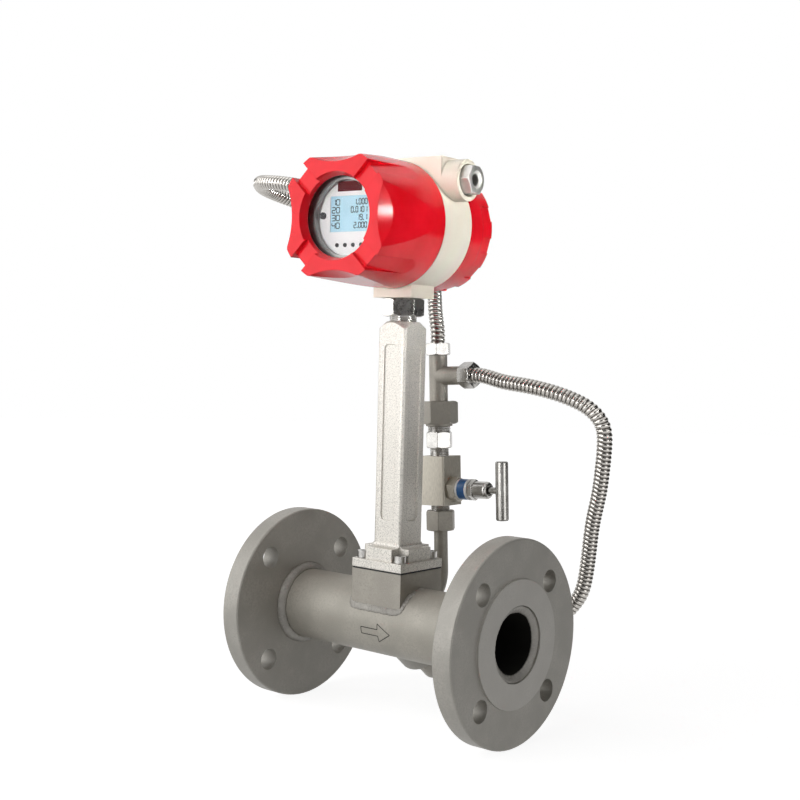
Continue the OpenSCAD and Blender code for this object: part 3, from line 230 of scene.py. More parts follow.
# %% Wire class
class Wire:
    """One output socket of a material. Arithmetic on wires adds Math nodes to the same tree."""

    def __init__(self, tree, socket=None):
        self.tree, self.socket = tree, socket

    def node(self, kind, settings=None, sockets=None, out=0):
        """Adds any node: its settings first, then the values or wires of its sockets."""
        made = self.tree.nodes.new(kind)
        for key, value in (settings or {}).items():
            setattr(made, key, value)
        for key, value in (sockets or {}).items():
            if isinstance(value, Wire):
                self.tree.links.new(value.socket, made.inputs[key])
            else:
                made.inputs[key].default_value = value
        return Wire(self.tree, made.outputs[out])

    def maths(self, operation, other, swap=False):
        first, second = (other, self) if swap else (self, other)
        return self.node("ShaderNodeMath", {"operation": operation}, {0: first, 1: second})

    def __add__(self, other): return self.maths("ADD", other)
    def __sub__(self, other): return self.maths("SUBTRACT", other)
    def __rsub__(self, other): return self.maths("SUBTRACT", other, swap=True)
    def __mul__(self, other): return self.maths("MULTIPLY", other)
    __radd__, __rmul__ = __add__, __mul__


# %% Helpers for a finish
def start_finish(name, **fixed):
    """A new material with its constant sockets set, its Object coordinates as a wire, and its shader."""
    material = bpy.data.materials.new(name)
    material.use_nodes = True
    shader = material.node_tree.nodes["Principled BSDF"]
    for key, value in fixed.items():
        shader.inputs[key.replace("_", " ")].default_value = value
    place = Wire(material.node_tree).node("ShaderNodeTexCoord", out="Object")
    return material, place, shader


def grain(place, size, detail=2.0, stretch=None):
    """Noise from 0 to 1 with features of about size metres, drawn out along an axis by stretch."""
    if stretch:
        place = place.node("ShaderNodeMapping", None, {"Vector": place, "Scale": stretch})
    return place.node("ShaderNodeTexNoise", None, {"Vector": place, "Scale": 1 / size, "Detail": detail})


def between(wire, low, high):
    """0 below low, 1 above high, and a smooth step in between."""
    return wire.node("ShaderNodeMapRange", {"interpolation_type": "SMOOTHSTEP"},
                     {"Value": wire, "From Min": low, "From Max": high})


def tone(factor, first, second):
    """Colour that goes from first to second as factor goes from 0 to 1."""
    start, end = (colour if isinstance(colour, Wire) else (*colour, 1) for colour in (first, second))
    return factor.node("ShaderNodeMix", {"data_type": "RGBA"}, {0: factor, 6: start, 7: end}, out=2)


def vector_maths(place, operation, other=(0, 0, 0), out="Value"):
    """A Vector Math node on a place, whose result is a number or, with out="Vector", a vector."""
    return place.node("ShaderNodeVectorMath", {"operation": operation}, {0: place, 1: other}, out=out)


def dress(shader, relief=None, depth=0.0001, strength=0.5, edge=0.0, **wires):
    """Links wires to the shader's sockets, and a height to its Normal through a Bump node. Where edge is
    given, a Bevel node first turns the normals within that distance of an edge, so that it looks rounded."""
    for key, wire in wires.items():
        wire.tree.links.new(wire.socket, shader.inputs[key.replace("_", " ")])
    if relief is not None:
        sockets = {"Height": relief, "Distance": depth, "Strength": strength}
        if edge:
            sockets["Normal"] = relief.node("ShaderNodeBevel", {"samples": 6}, {"Radius": edge})
        bump = relief.node("ShaderNodeBump", None, sockets)
        bump.tree.links.new(bump.socket, shader.inputs["Normal"])


# %% [markdown]
# ## Metals
# The run of the meter is bead-blasted: grey-brown, nearly matt, with a fine sparkle and broad cloudy
# patches. The fittings behind it are the same steel, a little darker. The neck is sand-cast, so its skin
# is pitted. The valve is drawn bar with the grain still on it. Nuts and the handle are turned bright, and
# so are the hoses, whose valleys between the ribs are painted near black as painted shade. A blasted
# skin scatters light, so it is mostly diffuse with only a share of metal.

# %% Metal finishes
finishes = {}


def blasted(name, dark, light, metallic=0.22, bore_r=None, depth=0.0001, run=None):
    """Fine grain for the blasted skin, broad noise for its cloudy patches, painted shade, near black, inside
    radius bore_r, where the bore lies in shade, and brighter faces at the two ends of a run along X."""
    material, place, shader = start_finish(name, Metallic=metallic)
    fine, mid, broad = grain(place, 0.0004, 3), grain(place, 0.0016), grain(place, 0.025, 4)
    cloud = tone(between(broad, 0.35, 0.68), dark, light)
    speck = tone(between(fine, 0.3, 0.7), tuple(0.82 * c for c in dark), light)
    base = tone(between(mid, 0.3, 0.75), cloud, speck)
    if bore_r:
        # Inside radius bore_r the colour is near black: painted shade of the bore.
        off_axis = vector_maths(vector_maths(place, "MULTIPLY", (0, 1, 1), "Vector"), "LENGTH")
        base = tone(between(off_axis, bore_r, bore_r + 0.0004), (0.02, 0.019, 0.016), base)
    if run:
        along = vector_maths(place, "DOT_PRODUCT", (1, 0, 0))
        step, blur = 0.0018, 0.0002
        ends = between(along, run - step, run - step + blur) + 1 - between(along, step - blur, step)
        base = tone(0.5 * ends, base, (0.64, 0.62, 0.58))
    dress(shader, fine * 0.7 + mid * 0.5, depth, 0.45, Base_Color=base, Roughness=0.4 + 0.18 * fine)
    return material


def turned(name, dark, light, rough, stretch):
    """Turning marks: noise drawn out along the surface, with a little oil film in broad patches."""
    material, place, shader = start_finish(name, Metallic=1.0)
    marks, film = grain(place, 0.0006, 2, stretch), grain(place, 0.008, 3)
    base = tone(between(film, 0.3, 0.75), dark, light)
    dress(shader, marks, 0.00004, 0.3, Base_Color=base, Roughness=rough + 0.1 * film + 0.05 * marks)
    return material


finishes["blasted_steel"] = blasted("blasted_steel", (0.4, 0.383, 0.345), (0.5, 0.48, 0.435))
finishes["weld_steel"] = blasted("weld_steel", (0.3, 0.286, 0.26), (0.48, 0.46, 0.42), 0.3, depth=0.0006)
for name, *look in (
        ("probe_steel", (0.5, 0.48, 0.45), (0.62, 0.6, 0.57), 0.2, (1, 1, 6)),
        ("machined_steel", (0.4, 0.39, 0.372), (0.54, 0.529, 0.51), 0.17, (1, 1, 6)),
        # ring_aluminium is turned dark grey, 0.3 to 0.4: the ring's own grey with painted shade of the
        # shadowed reveal round the window.
        ("ring_aluminium", (0.3, 0.3, 0.295), (0.4, 0.4, 0.39), 0.35, (1, 6, 1)),
        ("post_brass", (0.6, 0.44, 0.18), (0.78, 0.6, 0.3), 0.25, (1, 6, 1))):
    finishes[name] = turned(name, *look)
flange_steel = blasted("flange_steel", (0.4, 0.383, 0.345), (0.5, 0.48, 0.435), run=RUN * MM)
nickel = turned("nickel", (0.36, 0.35, 0.33), (0.47, 0.46, 0.44), 0.2, (1, 1, 6))
satin_steel = turned("satin_steel", (0.6, 0.585, 0.56), (0.72, 0.705, 0.68), 0.36, (1, 6, 6))
bore_shaded_tube = blasted("bore_shaded_tube", (0.4, 0.378, 0.328), (0.49, 0.464, 0.405), bore_r=0.0262)
dull_steel = blasted("dull_steel", (0.34, 0.318, 0.278), (0.43, 0.403, 0.353), 0.4)

material, place, shader = start_finish("bar_steel", Metallic=0.55)
grain_lines, patches = grain(place, 0.0005, 3, (1, 1, 0.12)), grain(place, 0.01, 3)
bright = tone(patches, (0.53, 0.495, 0.42), (0.62, 0.58, 0.5))
dress(shader, grain_lines, 0.00006, 0.4, edge=0.0003, Roughness=0.34 + 0.16 * grain_lines,
      Base_Color=tone(between(grain_lines, 0.3, 0.7), (0.42, 0.39, 0.33), bright))
bar_steel = material

# %% Cast neck and bright hoses
material, place, shader = start_finish("cast_aluminium", Metallic=0.5)
pits, skin, cloud = grain(place, 0.0009, 4), grain(place, 0.003), grain(place, 0.03, 3)
bright = tone(cloud, (0.74, 0.712, 0.655), (0.83, 0.8, 0.74))
dress(shader, pits * 0.8 + skin * 0.5, 0.0003, 0.8, edge=0.0009, Roughness=0.36 + 0.2 * pits,
      Base_Color=tone(between(pits, 0.25, 0.6), (0.42, 0.403, 0.37), bright))
finishes["cast_aluminium"] = material

material, place, shader = start_finish("hose_steel", Metallic=1.0)
crest = place.node("ShaderNodeAttribute", {"attribute_name": "crest"}, out="Fac")
smudge = grain(place, 0.006, 3)
bright = tone(smudge, (0.42, 0.4, 0.37), (0.56, 0.537, 0.505))
# Where crest is low, in the valleys between the ribs, the colour goes near black: painted shade.
dress(shader, smudge, 0.00003, 0.3, Roughness=0.14 + 0.22 * (1 - crest) + 0.08 * smudge,
      Base_Color=tone(between(crest, 0.05, 0.6), (0.05, 0.042, 0.036), bright))
finishes["hose_steel"] = material
print(len(finishes) + 6, "metals")

# %% [markdown]
# ## Paint, rubber, plastic and glass
# The covers are sprayed a glossy red and the housing a satin cream. Powder coat is never flat: it has a
# faint orange-peel ripple and small shifts in gloss. The window is clear enough to be a thin see-through
# coat.

# %% Paint, plastic and rubber finishes
def coated(name, dark, light, rough, peel, coat=0.0, speck=0.0012, edge=0.0, gloss=0.5):
    """Orange-peel ripple as a bump, and slow changes of colour and gloss."""
    fixed = {"Coat_Weight": coat, "Coat_Roughness": 0.1, "Specular_IOR_Level": gloss}
    material, place, shader = start_finish(name, **fixed)
    ripple, slow, dust = grain(place, speck, 2), grain(place, 0.03, 3), grain(place, 0.0004, 2)
    dress(shader, ripple, 0.00006, peel, edge, Base_Color=tone(between(slow, 0.3, 0.7), dark, light),
          Roughness=rough + 0.06 * slow + 0.05 * dust)
    return material


for name, dark, light, rough, peel, more in (
        ("red_paint", (0.74, 0.004, 0.012), (0.82, 0.007, 0.018), 0.14, 0.2, {"edge": 0.0006, "gloss": 0.25}),
        ("cream_paint", (0.85, 0.785, 0.66), (0.89, 0.83, 0.71), 0.3, 0.3, {"edge": 0.0008}),
        ("seal_rubber", (0.012, 0.012, 0.012), (0.03, 0.03, 0.03), 0.6, 0.4, {}),
        ("panel_plastic", (0.85, 0.86, 0.86), (0.9, 0.91, 0.91), 0.45, 0.3, {"speck": 0.0005}),
        ("plate_plastic", (0.09, 0.006, 0.009), (0.13, 0.008, 0.012), 0.4, 0.3,
         {"speck": 0.0005, "gloss": 0.1}),
        ("key_plastic", (0.02, 0.02, 0.022), (0.05, 0.05, 0.054), 0.45, 0.3, {"speck": 0.0005}),
        ("circuit_board", (0.01, 0.12, 0.04), (0.03, 0.22, 0.08), 0.3, 0.5, {"coat": 0.3}),
        ("terminal_plastic", (0.03, 0.2, 0.08), (0.05, 0.28, 0.12), 0.45, 0.3, {})):
    finishes[name] = coated(name, dark, light, rough, peel, **more)

material, place, shader = start_finish("lcd_glass", Coat_Weight=0.2, Coat_Roughness=0.1)
haze = grain(place, 0.012, 2)
dress(shader, grain(place, 0.0003), 0.00002, 0.2, Roughness=0.3 + 0.1 * haze,
      Base_Color=tone(between(haze, 0.3, 0.7), (0.38, 0.66, 0.79), (0.43, 0.71, 0.83)))
finishes["lcd_glass"] = material

material, place, shader = start_finish("window_glass", Base_Color=(0.2, 0.22, 0.22, 1), IOR=1.5)
smear = grain(place, 0.02, 3)
dress(shader, Alpha=0.02 + 0.03 * between(smear, 0.4, 0.7), Roughness=0.03 + 0.05 * smear)
finishes["window_glass"] = material

# %% Blue band with white edges
stem_axis = (math.cos(lean_back), 0, math.sin(lean_back))
stem_at = (0.119452389, TAP_Y * MM, 0.105854731)
material, place, shader = start_finish("band_plastic", Coat_Weight=0.3, Coat_Roughness=0.1)
out = vector_maths(place, "DOT_PRODUCT", stem_axis) - float(np.dot(stem_at, stem_axis))
blue_from, blue_to, blur = 0.0245, 0.0324, 0.0003
edge = 1 - between(out, blue_from, blue_from + blur) * (1 - between(out, blue_to, blue_to + blur))
scuff = grain(place, 0.002, 3)
dress(shader, scuff, 0.00004, 0.3, Roughness=0.3 + 0.15 * scuff,
      Base_Color=tone(edge, tone(scuff, (0.006, 0.08, 0.25), (0.015, 0.12, 0.34)), (0.85, 0.85, 0.83)))
finishes["band_plastic"] = material
print(len(finishes), "finishes, missing", sorted(set(slot_of.values()) - set(finishes)))

# %% [markdown]
# ## Edges that catch the light
# A solid's edges are perfectly sharp, and no real one is: a casting has a radius, paint rounds it
# further, and a nut has a broken corner. A rounded edge shows as a thin bright line, which does more for
# the look than any texture. So most outer nodes are copied, their loose triangles merged, flat ones
# joined, and a Bevel rounds their edges. On a form with many shallow edges that meet at a point, a Bevel
# can throw a corner far out. So each result is measured against the solid. The covers, the housing, the
# neck and the valve keep their solid, and the Bevel node in their finish rounds the shading instead.

# %% Soften an outer node
flat_fold, sharp_fold, round_fold = (math.radians(degrees) for degrees in (0.5, 24, 32))
fine_merge, coarse_merge = 2e-6, 6e-5  # metres


def strays(obj, solid):
    """The largest distance in metres from a corner of the finished mesh to the solid it was made from."""
    near = BVHTree.FromPolygons([v.co for v in solid.vertices], [p.vertices for p in solid.polygons])
    done = obj.evaluated_get(bpy.context.evaluated_depsgraph_get()).to_mesh()
    return max(near.find_nearest(v.co)[3] for v in done.vertices)


def soften(node, width, merge):
    """A merged copy of a node whose edges over 32 degrees are rounded by width millimetres, or nothing where
    the copy would leave the solid by more than the width."""
    mesh = nodes[node].data.copy()
    work = bmesh.new()
    work.from_mesh(mesh)
    bmesh.ops.remove_doubles(work, verts=work.verts, dist=merge)
    bmesh.ops.dissolve_limit(work, angle_limit=flat_fold, verts=work.verts, edges=work.edges)
    work.to_mesh(mesh)
    work.free()
    mesh.polygons.foreach_set("use_smooth", np.full(len(mesh.polygons), True))
    mesh.set_sharp_from_angle(angle=sharp_fold)
    mesh.materials.clear()
    obj = bpy.data.objects.new(node + "_soft", mesh)
    bpy.context.scene.collection.objects.link(obj)
    bevel = obj.modifiers.new("rounded_edges", "BEVEL")
    bevel.width, bevel.segments, bevel.limit_method = width * MM, 2, "ANGLE"
    bevel.angle_limit, bevel.harden_normals = round_fold, True
    bevel.use_clamp_overlap, bevel.loop_slide = False, False
    if strays(obj, nodes[node].data) > width * MM:
        bpy.data.objects.remove(obj)
        return None
    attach(obj, nodes[node]["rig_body"])
    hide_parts(node)
    return obj


# %% Round the edges of the outer nodes
edge_widths = {
    "inlet_flange": 0.4, "outlet_flange": 0.4, "sensor_pad": 0.4, "lock_nut": 0.4, "conduit_adapter": 0.35,
    "conduit_nut": 0.35, "tee_nut": 0.35, "branch_nut": 0.35, "valve_top_nut": 0.35, "tap_nut": 0.4,
    "well_hose_nut": 0.35, "packing_nut": 0.3, "lock_ring": 0.25, "gland_body": 0.25, "gland_nut": 0.3,
    "pressure_sensor": 0.35, "temperature_sensor": 0.35, "valve_bonnet": 0.3, "pressure_tee": 0.3,
    "t_handle": 0.5, "valve_stem": 0.2, "well_boss": 0.4, "neck_screws": 0.2, "name_plate": 0.15,
    "key_1": 0.15, "key_2": 0.15, "key_3": 0.15, "key_4": 0.15,
}
softened = {}
for node, width in edge_widths.items():
    softened[node] = soften(node, width, fine_merge) or soften(node, width, coarse_merge)
plain = [node for node, obj in softened.items() if obj is None]
print(len(softened) - len(plain), "softened, left as solids:", plain)

# %% Give every piece its finish
own_finish = {"inlet_flange": flange_steel, "outlet_flange": flange_steel, "meter_tube": bore_shaded_tube,
              "shedder_bar": bore_shaded_tube, "valve_body": bar_steel, "valve_bonnet": bar_steel,
              "lock_nut": nickel, "t_handle": nickel, "gland_nut": satin_steel}
own_finish.update(dict.fromkeys(
    ("sensor_pad", "pressure_tee", "pressure_sensor", "tap_nut", "tap_tube", "temperature_sensor"),
    dull_steel))
for node, solid in nodes.items():
    for obj in (solid, softened.get(node)):
        if obj:
            obj.data.materials.clear()
            obj.data.materials.append(own_finish.get(node, finishes[slot_of[node]]))
for hose in (head_hose, sensor_hose):
    hose.data.materials.append(finishes["hose_steel"])
print(sum(not o.hide_render for o in nodes.values()), "solids shown as they are")

# %% [markdown]
# ## Weld beads
# A weld is a row of overlapping drops of metal, so its surface ripples along the seam. Round seams are a
# profile turned about the tube. The seams on the tube's wall follow the line where the pad, the tap and
# the boss meet it, and a round profile is carried along that line.

# %% Welds turned about the tube
def ring_weld(name, corner, profile, face_x, side, drops):
    """profile (axial, radial) closed by corner, turned about X; the profile swells 2% with each drop."""
    angle = np.linspace(0, 2 * np.pi, 12 * drops, endpoint=False)
    swell = 1 + 0.02 * np.cos(drops * angle) + 0.03 * np.sin(5 * angle + 1) + 0.02 * np.sin(13 * angle)
    shape = corner + (np.vstack([profile, [corner]]) - corner)[None, :, :] * swell[:, None, None]
    axial, radial = shape[..., 0], shape[..., 1]
    around = angle[:, None]
    points = np.stack([face_x + side * axial, radial * np.cos(around), radial * np.sin(around)], -1)
    return put_surface(name, points * MM, "root", "weld_steel", ring=True, finish=finishes["weld_steel"])


t = np.linspace(0, 1, 9)
leg, crown = 5.6, 0.9
fillet = np.stack([leg * (1 - t), TUBE_R + leg * t], 1) + crown * np.sin(np.pi * t)[:, None]
mouth = np.stack([4.8 - 3.6 * t, 24.3 + 5.6 * t], 1) + 0.5 * np.sin(np.pi * t)[:, None] * np.array([-1, -0.6])
flange_h = 20
welds = [ring_weld(f"{end}_back_weld", np.array([-0.05, 29.95]), fillet, x, s, 44)
         for end, x, s in (("inlet", flange_h, 1), ("outlet", RUN - flange_h, -1))]
welds += [ring_weld(f"{end}_bore_weld", np.array([4.9, 30.2]), mouth, x, s, 40)
          for end, x, s in (("inlet", 0, 1), ("outlet", RUN, -1))]

# %% Welds carried along a seam on the tube wall
def seam_weld(name, seam, width, height, drop):
    """An oval profile carried along a closed seam, width to each side and height outwards; it dips between
    drops of the given length, and the dips bow backwards with the angle, as the edges of frozen drops do."""
    seam = np.asarray(seam)
    run = np.r_[0, np.cumsum(np.linalg.norm(np.diff(np.vstack([seam, seam[:1]]), axis=0), axis=1))]
    count = round(run[-1] / drop)
    even = np.linspace(0, run[-1], 9 * count, endpoint=False)
    path = np.stack([np.interp(even, run, np.r_[seam[:, a], seam[0, a]]) for a in range(3)], 1)
    along = np.roll(path, -2, 0) - np.roll(path, 2, 0)
    along /= np.linalg.norm(along, axis=1)[:, None]
    out = path * np.array([0, 1, 1])
    out -= np.sum(out * along, 1)[:, None] * along
    out /= np.linalg.norm(out, axis=1)[:, None]
    across = np.cross(along, out)
    angle = np.linspace(0, 2 * np.pi, 18, endpoint=False)[None, :]
    phase = 2 * np.pi * count * even[:, None] / run[-1] + 0.9 * np.sin(angle) ** 2
    swell = (0.84 + 0.17 * np.abs(np.cos(phase / 2)) + 0.06 * np.sin(0.37 * phase + 2 * angle))[..., None]
    points = path[:, None] + swell * (height * np.cos(angle)[..., None] * out[:, None]
                                      + width * np.sin(angle)[..., None] * across[:, None])
    return put_surface(name, points * MM, "root", "weld_steel", ring=True, finish=finishes["weld_steel"])


a = np.linspace(0, 2 * np.pi, 400, endpoint=False)
half, corner_n = 26.9, 14.0
x = half * np.sign(np.cos(a)) * np.abs(np.cos(a)) ** (2 / corner_n)
y = half * np.sign(np.sin(a)) * np.abs(np.sin(a)) ** (2 / corner_n)
pad_seam = np.stack([NECK_X + x, y, np.sqrt(TUBE_R**2 - y**2)], 1)
welds.append(seam_weld("pad_weld", pad_seam, 3.4, 1.3, 3.1))
boss_r, slope = 21.3, math.radians(40)
deep, rise = np.sqrt(TUBE_R**2 - (boss_r * np.sin(a)) ** 2), boss_r * np.sin(a)
boss_seam = np.stack([NECK_X + boss_r * np.cos(a), deep * math.cos(slope) + rise * math.sin(slope),
                      rise * math.cos(slope) - deep * math.sin(slope)], 1)
welds.append(seam_weld("boss_weld", boss_seam, 2.3, 1.6, 2.8))
tap_r, tap_x, tap_z = 6.2, 124.58, 8
z = tap_z + tap_r * np.sin(a)
tap_seam = np.stack([tap_x + tap_r * np.cos(a), np.sqrt(TUBE_R**2 - z**2), z], 1)
welds.append(seam_weld("tap_weld", tap_seam, 1.9, 1.6, 2.4))
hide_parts("weld_beads")
print(len(welds), "welds")

# %% [markdown]
# ## Threads
# A few turns of thread show between the lock nut and the neck, and above and below the valve. A screw
# thread is a cylinder whose radius is a triangle wave of the height plus the angle, so the ridges climb
# as they turn.

# %% Threads
def thread(name, foot, axis, length, crest_r, depth, lead):
    """radius = crest_r - depth * |2 fraction - 1|, where fraction is the part of a turn in height / lead
    plus the angle."""
    axis = np.array(axis) / np.linalg.norm(axis)
    side = np.cross(axis, (0, 1, 0))
    side /= np.linalg.norm(side)
    other = np.cross(axis, side)
    rise = np.arange(0, length + 1e-9, lead / 10)[:, None]
    angle = np.linspace(0, 2 * np.pi, 48, endpoint=False)[None, :]
    fraction = np.mod(rise / lead + angle / (2 * np.pi), 1)
    radius = (crest_r - depth * np.abs(2 * fraction - 1))[..., None]
    points = (np.array(foot) + rise[..., None] * axis
              + radius * (np.cos(angle)[..., None] * side + np.sin(angle)[..., None] * other))
    return put_surface(name, points * MM, "root", "machined_steel", finish=finishes["machined_steel"])


column = np.array([-math.sin(lean_back), 0, math.cos(lean_back)])
threads = [thread("nipple_thread", (NECK_X, 0, 249.05), (0, 0, 1), 4.2, 11.45, 0.5, 1.4)]
threads += [thread(name, np.array([NECK_X, TAP_Y, 0]) + low * column, column, high - low, crest_r, 0.42, 1.3)
            for name, low, high, crest_r in (("valve_foot_thread", 86.95, 91.75, 8.4),
                                             ("valve_top_thread", 134.45, 141.15, 8.4),
                                             ("sensor_thread", 155.25, 160.15, 10.05))]
print(len(threads), "threads")

# %% [markdown]
# ## Figures on the display
# The display shows four rows of plain figures, each with its row number. A figure is built from seven
# strokes, so a figure is just the list of strokes that are on, and every stroke is the same thin box put
# in its place.

# %% Seven-stroke figures
STROKES = {"0": "abcdef", "1": "bc", "2": "abged", "3": "abgcd", "4": "fgbc", "9": "abfgcd"}
PLACES = {"a": (0, 1, 1, 0), "b": (0.5, 0.5, 0, 1), "c": (0.5, -0.5, 0, 1), "d": (0, -1, 1, 0),
          "e": (-0.5, -0.5, 0, 1), "f": (-0.5, 0.5, 0, 1), "g": (0, 0, 1, 0)}
facing = np.array([math.sin(head_turn), -math.cos(head_turn), 0])
rightward = np.array([math.cos(head_turn), math.sin(head_turn), 0])


def strokes_of(text, left, middle, tall, wide):
    """Centre and half size (x, y) of each stroke of a row of figures, in mm, and the row's right end."""
    thick, gap, boxes, pen = 0.085 * tall, 0.22 * tall, [], left
    for mark in text:
        if mark == ".":
            boxes.append((pen + 0.05 * tall, middle - 0.46 * tall, 1.3 * thick, 1.3 * thick))
            pen += 0.36 * tall
            continue
        for stroke in STROKES[mark]:
            cx, cy, lies, stands = PLACES[stroke]
            boxes.append((pen + wide * (0.5 + cx), middle + cy * tall / 2,
                          wide * 0.44 if lies else thick, tall * 0.22 if stands else thick))
        pen += wide + gap
    return boxes, pen - gap


# %% Put the figures on the display
label_left, label_w, value_w = -17.4, 3.2, 2.0
rows = [("10", "1.000"), ("20", "0.0101"), ("30", "19.1"), ("40", "2.000")]
row_top, row_pitch, right_end, figure_h = 12.6, 6.05, 16.6, 4.3
boxes = []
for k, (label, value) in enumerate(rows):
    level_y = row_top - row_pitch * k
    length = strokes_of(value, 0, 0, figure_h, value_w)[1]
    boxes += strokes_of(label, label_left, level_y, figure_h, label_w)[0]
    boxes += strokes_of(value, right_end - length, level_y, figure_h, value_w)[0]
box = np.array(boxes)
corner = np.array([[-1, -1], [1, -1], [1, 1], [-1, 1]])
flat = box[:, None, :2] + corner[None] * box[:, None, 2:]
sheet = np.array([NECK_X, 0, HEAD_Z]) + flat[..., :1] * rightward + flat[..., 1:] * np.array([0, 0, 1])
back_at, front_at = 76.12, 76.2
points = np.concatenate([sheet + back_at * facing, sheet + front_at * facing], 1).reshape(-1, 3)
solid = np.array([[3, 2, 1, 0], [4, 5, 6, 7], [0, 1, 5, 4], [1, 2, 6, 5], [2, 3, 7, 6], [3, 0, 4, 7]])
faces = (8 * np.arange(len(box))[:, None, None] + solid[None]).reshape(-1, 4).tolist()
material, place, shader = start_finish("figure_ink", Roughness=0.4)
dress(shader, Base_Color=tone(grain(place, 0.001), (0.012, 0.02, 0.03), (0.03, 0.045, 0.06)))
put_mesh("display_figures", points * MM, faces, "root", "lcd_glass", finish=material, smooth=False)
print(len(box), "strokes on the display")

# %% [markdown]
# ## The flow arrow
# An outline arrow is etched in the front of the tube. Its outline is drawn flat, as length along the tube
# and angle round it, and then wrapped: a point at angle b lies at (x, -r cos b, r sin b).

# %% Flow arrow
def wrapped_line(name, line, half_width, r_in, r_out):
    """A closed band along a flat outline (x, arc length) in mm, wrapped on the tube between two radii."""
    line = np.asarray(line, float)
    run = np.r_[0, np.cumsum(np.linalg.norm(np.diff(np.vstack([line, line[:1]]), axis=0), axis=1))]
    even = np.linspace(0, run[-1], 240, endpoint=False)
    path = np.stack([np.interp(even, run, np.r_[line[:, k], line[0, k]]) for k in (0, 1)], 1)
    along = np.roll(path, -1, 0) - np.roll(path, 1, 0)
    along /= np.linalg.norm(along, axis=1)[:, None]
    across = np.stack([-along[:, 1], along[:, 0]], 1) * half_width
    flat = np.stack([path - across, path + across, path + across, path - across], 1)
    radius = np.array([r_in, r_in, r_out, r_out])[None, :]
    bend = flat[..., 1] / TUBE_R
    points = np.stack([flat[..., 0], -radius * np.cos(bend), radius * np.sin(bend)], -1)
    return put_surface(name, points * MM, "root", "blasted_steel", ring=True, finish=etched, smooth=False)


material, place, shader = start_finish("etched_steel", Metallic=0.5)
scratch = grain(place, 0.0004, 3)
dress(shader, scratch, 0.0001, 0.5, Roughness=0.45 + 0.2 * scratch,
      Base_Color=tone(scratch, (0.035, 0.033, 0.028), (0.08, 0.076, 0.066)))
etched = material
arc = np.radians([-5.6, -16.4, 3.4, -26.6, -10.8]) * TUBE_R
tail, head, tip = 112.7, 130.5, 143.6
outline = [(tail, arc[0]), (head, arc[0]), (head, arc[2]), (tip, arc[4]),
           (head, arc[3]), (head, arc[1]), (tail, arc[1])]
arrow = wrapped_line("flow_arrow", outline, 0.4, TUBE_R - 0.1, TUBE_R + 0.04)
print("arrow of", len(arrow.data.polygons), "faces")

# %% [markdown]
# ## Floor, world and lamps
# The picture has a plain white ground with the light from the front left and above, so faces that look
# along -Y are bright and those that look along +X are in shade. The world and floor show white to the
# camera and to reflections, and two narrow lamps lift the painted head, while the others light the object
# at a plain level. Bright metal in a white room looks like plaster, so a photographer stands dark cards
# round it, whose reflections draw the dark lines down every nut, rod and hose. Here they are curved
# sheets that only reflections see.

# %% Floor and world
def seen_mask(tree):
    """1 for rays that show the ground: from the camera, from gloss and through glass."""
    names = ("Is Camera Ray", "Is Glossy Ray", "Is Transmission Ray")
    kinds = [Wire(tree).node("ShaderNodeLightPath", out=name) for name in names]
    return kinds[0].maths("MAXIMUM", kinds[1]).maths("MAXIMUM", kinds[2])


def put_stage(name, points, faces, finish):
    """A stage object from points in metres, which isn't part of the meter."""
    mesh = bpy.data.meshes.new(name)
    mesh.from_pydata(points.reshape(-1, 3).tolist(), [], faces)
    mesh.materials.append(finish)
    obj = bpy.data.objects.new(name, mesh)
    bpy.context.scene.collection.objects.link(obj)
    return obj


floor_z = cad_box[0][2] - 0.0005
material, place, shader = start_finish("pale_floor", Base_Color=(0.36, 0.36, 0.36, 1), Roughness=0.9)
shader.inputs["Specular IOR Level"].default_value = 0.0
glow = tone(between(vector_maths(place, "LENGTH"), 0.3, 1.3), (0.88, 0.88, 0.88), (1, 1, 1))
dress(shader, Emission_Color=glow, Emission_Strength=seen_mask(material.node_tree))
floor_r, sides = 4.0, 64
turns = np.linspace(0, 2 * np.pi, sides, endpoint=False)
disc = np.stack([NECK_X * MM + floor_r * np.cos(turns), floor_r * np.sin(turns), np.full(sides, floor_z)], 1)
put_stage("floor", disc, [list(range(sides))], material)

world = bpy.data.worlds.new("studio")
world.use_nodes = True
bpy.context.scene.world = world
backdrop = world.node_tree.nodes["Background"]
backdrop.inputs["Color"].default_value = (1, 1, 1, 1)
strength = seen_mask(world.node_tree) * 0.9 + 0.1
world.node_tree.links.new(strength.socket, backdrop.inputs["Strength"])

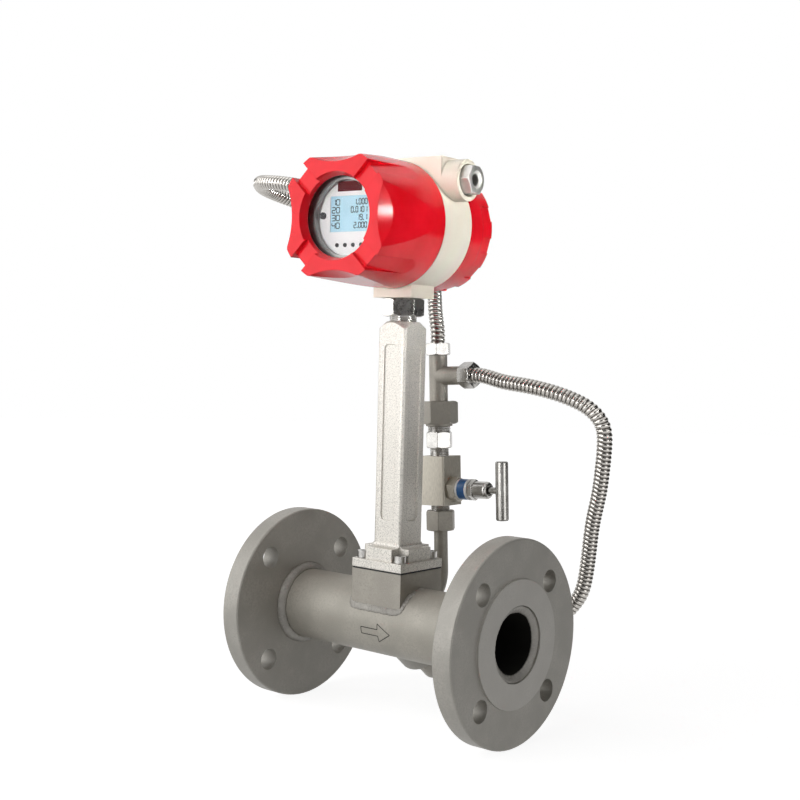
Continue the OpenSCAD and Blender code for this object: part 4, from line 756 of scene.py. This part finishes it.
# %% Dark cards
def dark_card(name, first, last, grey, away=2.2, tall=1.9, cols=12):
    """A sheet on a cylinder of radius away about the meter, between bearings in degrees from -Y to +X."""
    felt, place, shader = start_finish(name + "_felt", Base_Color=(grey, grey, grey, 1), Roughness=1.0)
    shader.inputs["Specular IOR Level"].default_value = 0.0
    bearing = np.radians(np.linspace(first, last, cols))
    foot_x, foot_y = NECK_X * MM + away * np.sin(bearing), -away * np.cos(bearing)
    foot = np.stack([foot_x, foot_y, np.full(cols, floor_z)], 1)
    points = np.stack([foot, foot + np.array([0, 0, tall])], 0)
    faces = [[j, j + 1, j + cols + 1, j + cols] for j in range(cols - 1)]
    card = put_stage(name, points, faces, felt)
    card.visible_camera = card.visible_diffuse = card.visible_transmission = card.visible_shadow = False
    return card


cards = [dark_card(*card) for card in (
    ("front_card", 10, 70, 0.03), ("right_card", 100, 175, 0.1), ("left_card", 262, 305, 0.04))]
print(len(cards), "dark cards")

# %% Lamps
def lamp(name, place, power, size, aim=(0.125, 0.03, 0.14), spread=180):
    """A square area lamp at place that looks at aim, with its beam narrowed to a spread in degrees."""
    data = bpy.data.lights.new(name, "AREA")
    data.energy, data.size, data.spread = power, size, math.radians(spread)
    obj = bpy.data.objects.new(name, data)
    bpy.context.scene.collection.objects.link(obj)
    away = np.array(place) - np.array(aim)
    away /= np.linalg.norm(away)
    across = np.cross((0, 0, 1), away)
    across /= np.linalg.norm(across)
    pose = np.eye(4)
    pose[:3, 0], pose[:3, 1], pose[:3, 2], pose[:3, 3] = across, np.cross(away, across), away, place
    obj.matrix_world = Matrix(pose.tolist())
    return obj


lamp("key", (-0.45, -1.5, 0.8), 21, 1.8)
lamp("top", (0.1, -0.2, 1.8), 3, 0.8)
lamp("side", (1.5, -0.05, 0.12), 2.3, 0.6)
lamp("head_side", (1.46, 0.36, 0.42), 0.24, 0.3, (0.125, 0, 0.4), 12)
lamp("head_front", (0.25, -1.65, 0.42), 0.24, 0.4, (0.125, -0.05, 0.39), 13)
lamp("left", (-1.5, -0.25, 0.45), 4.5, 0.45)
bpy.context.scene.view_settings.view_transform = "Standard"
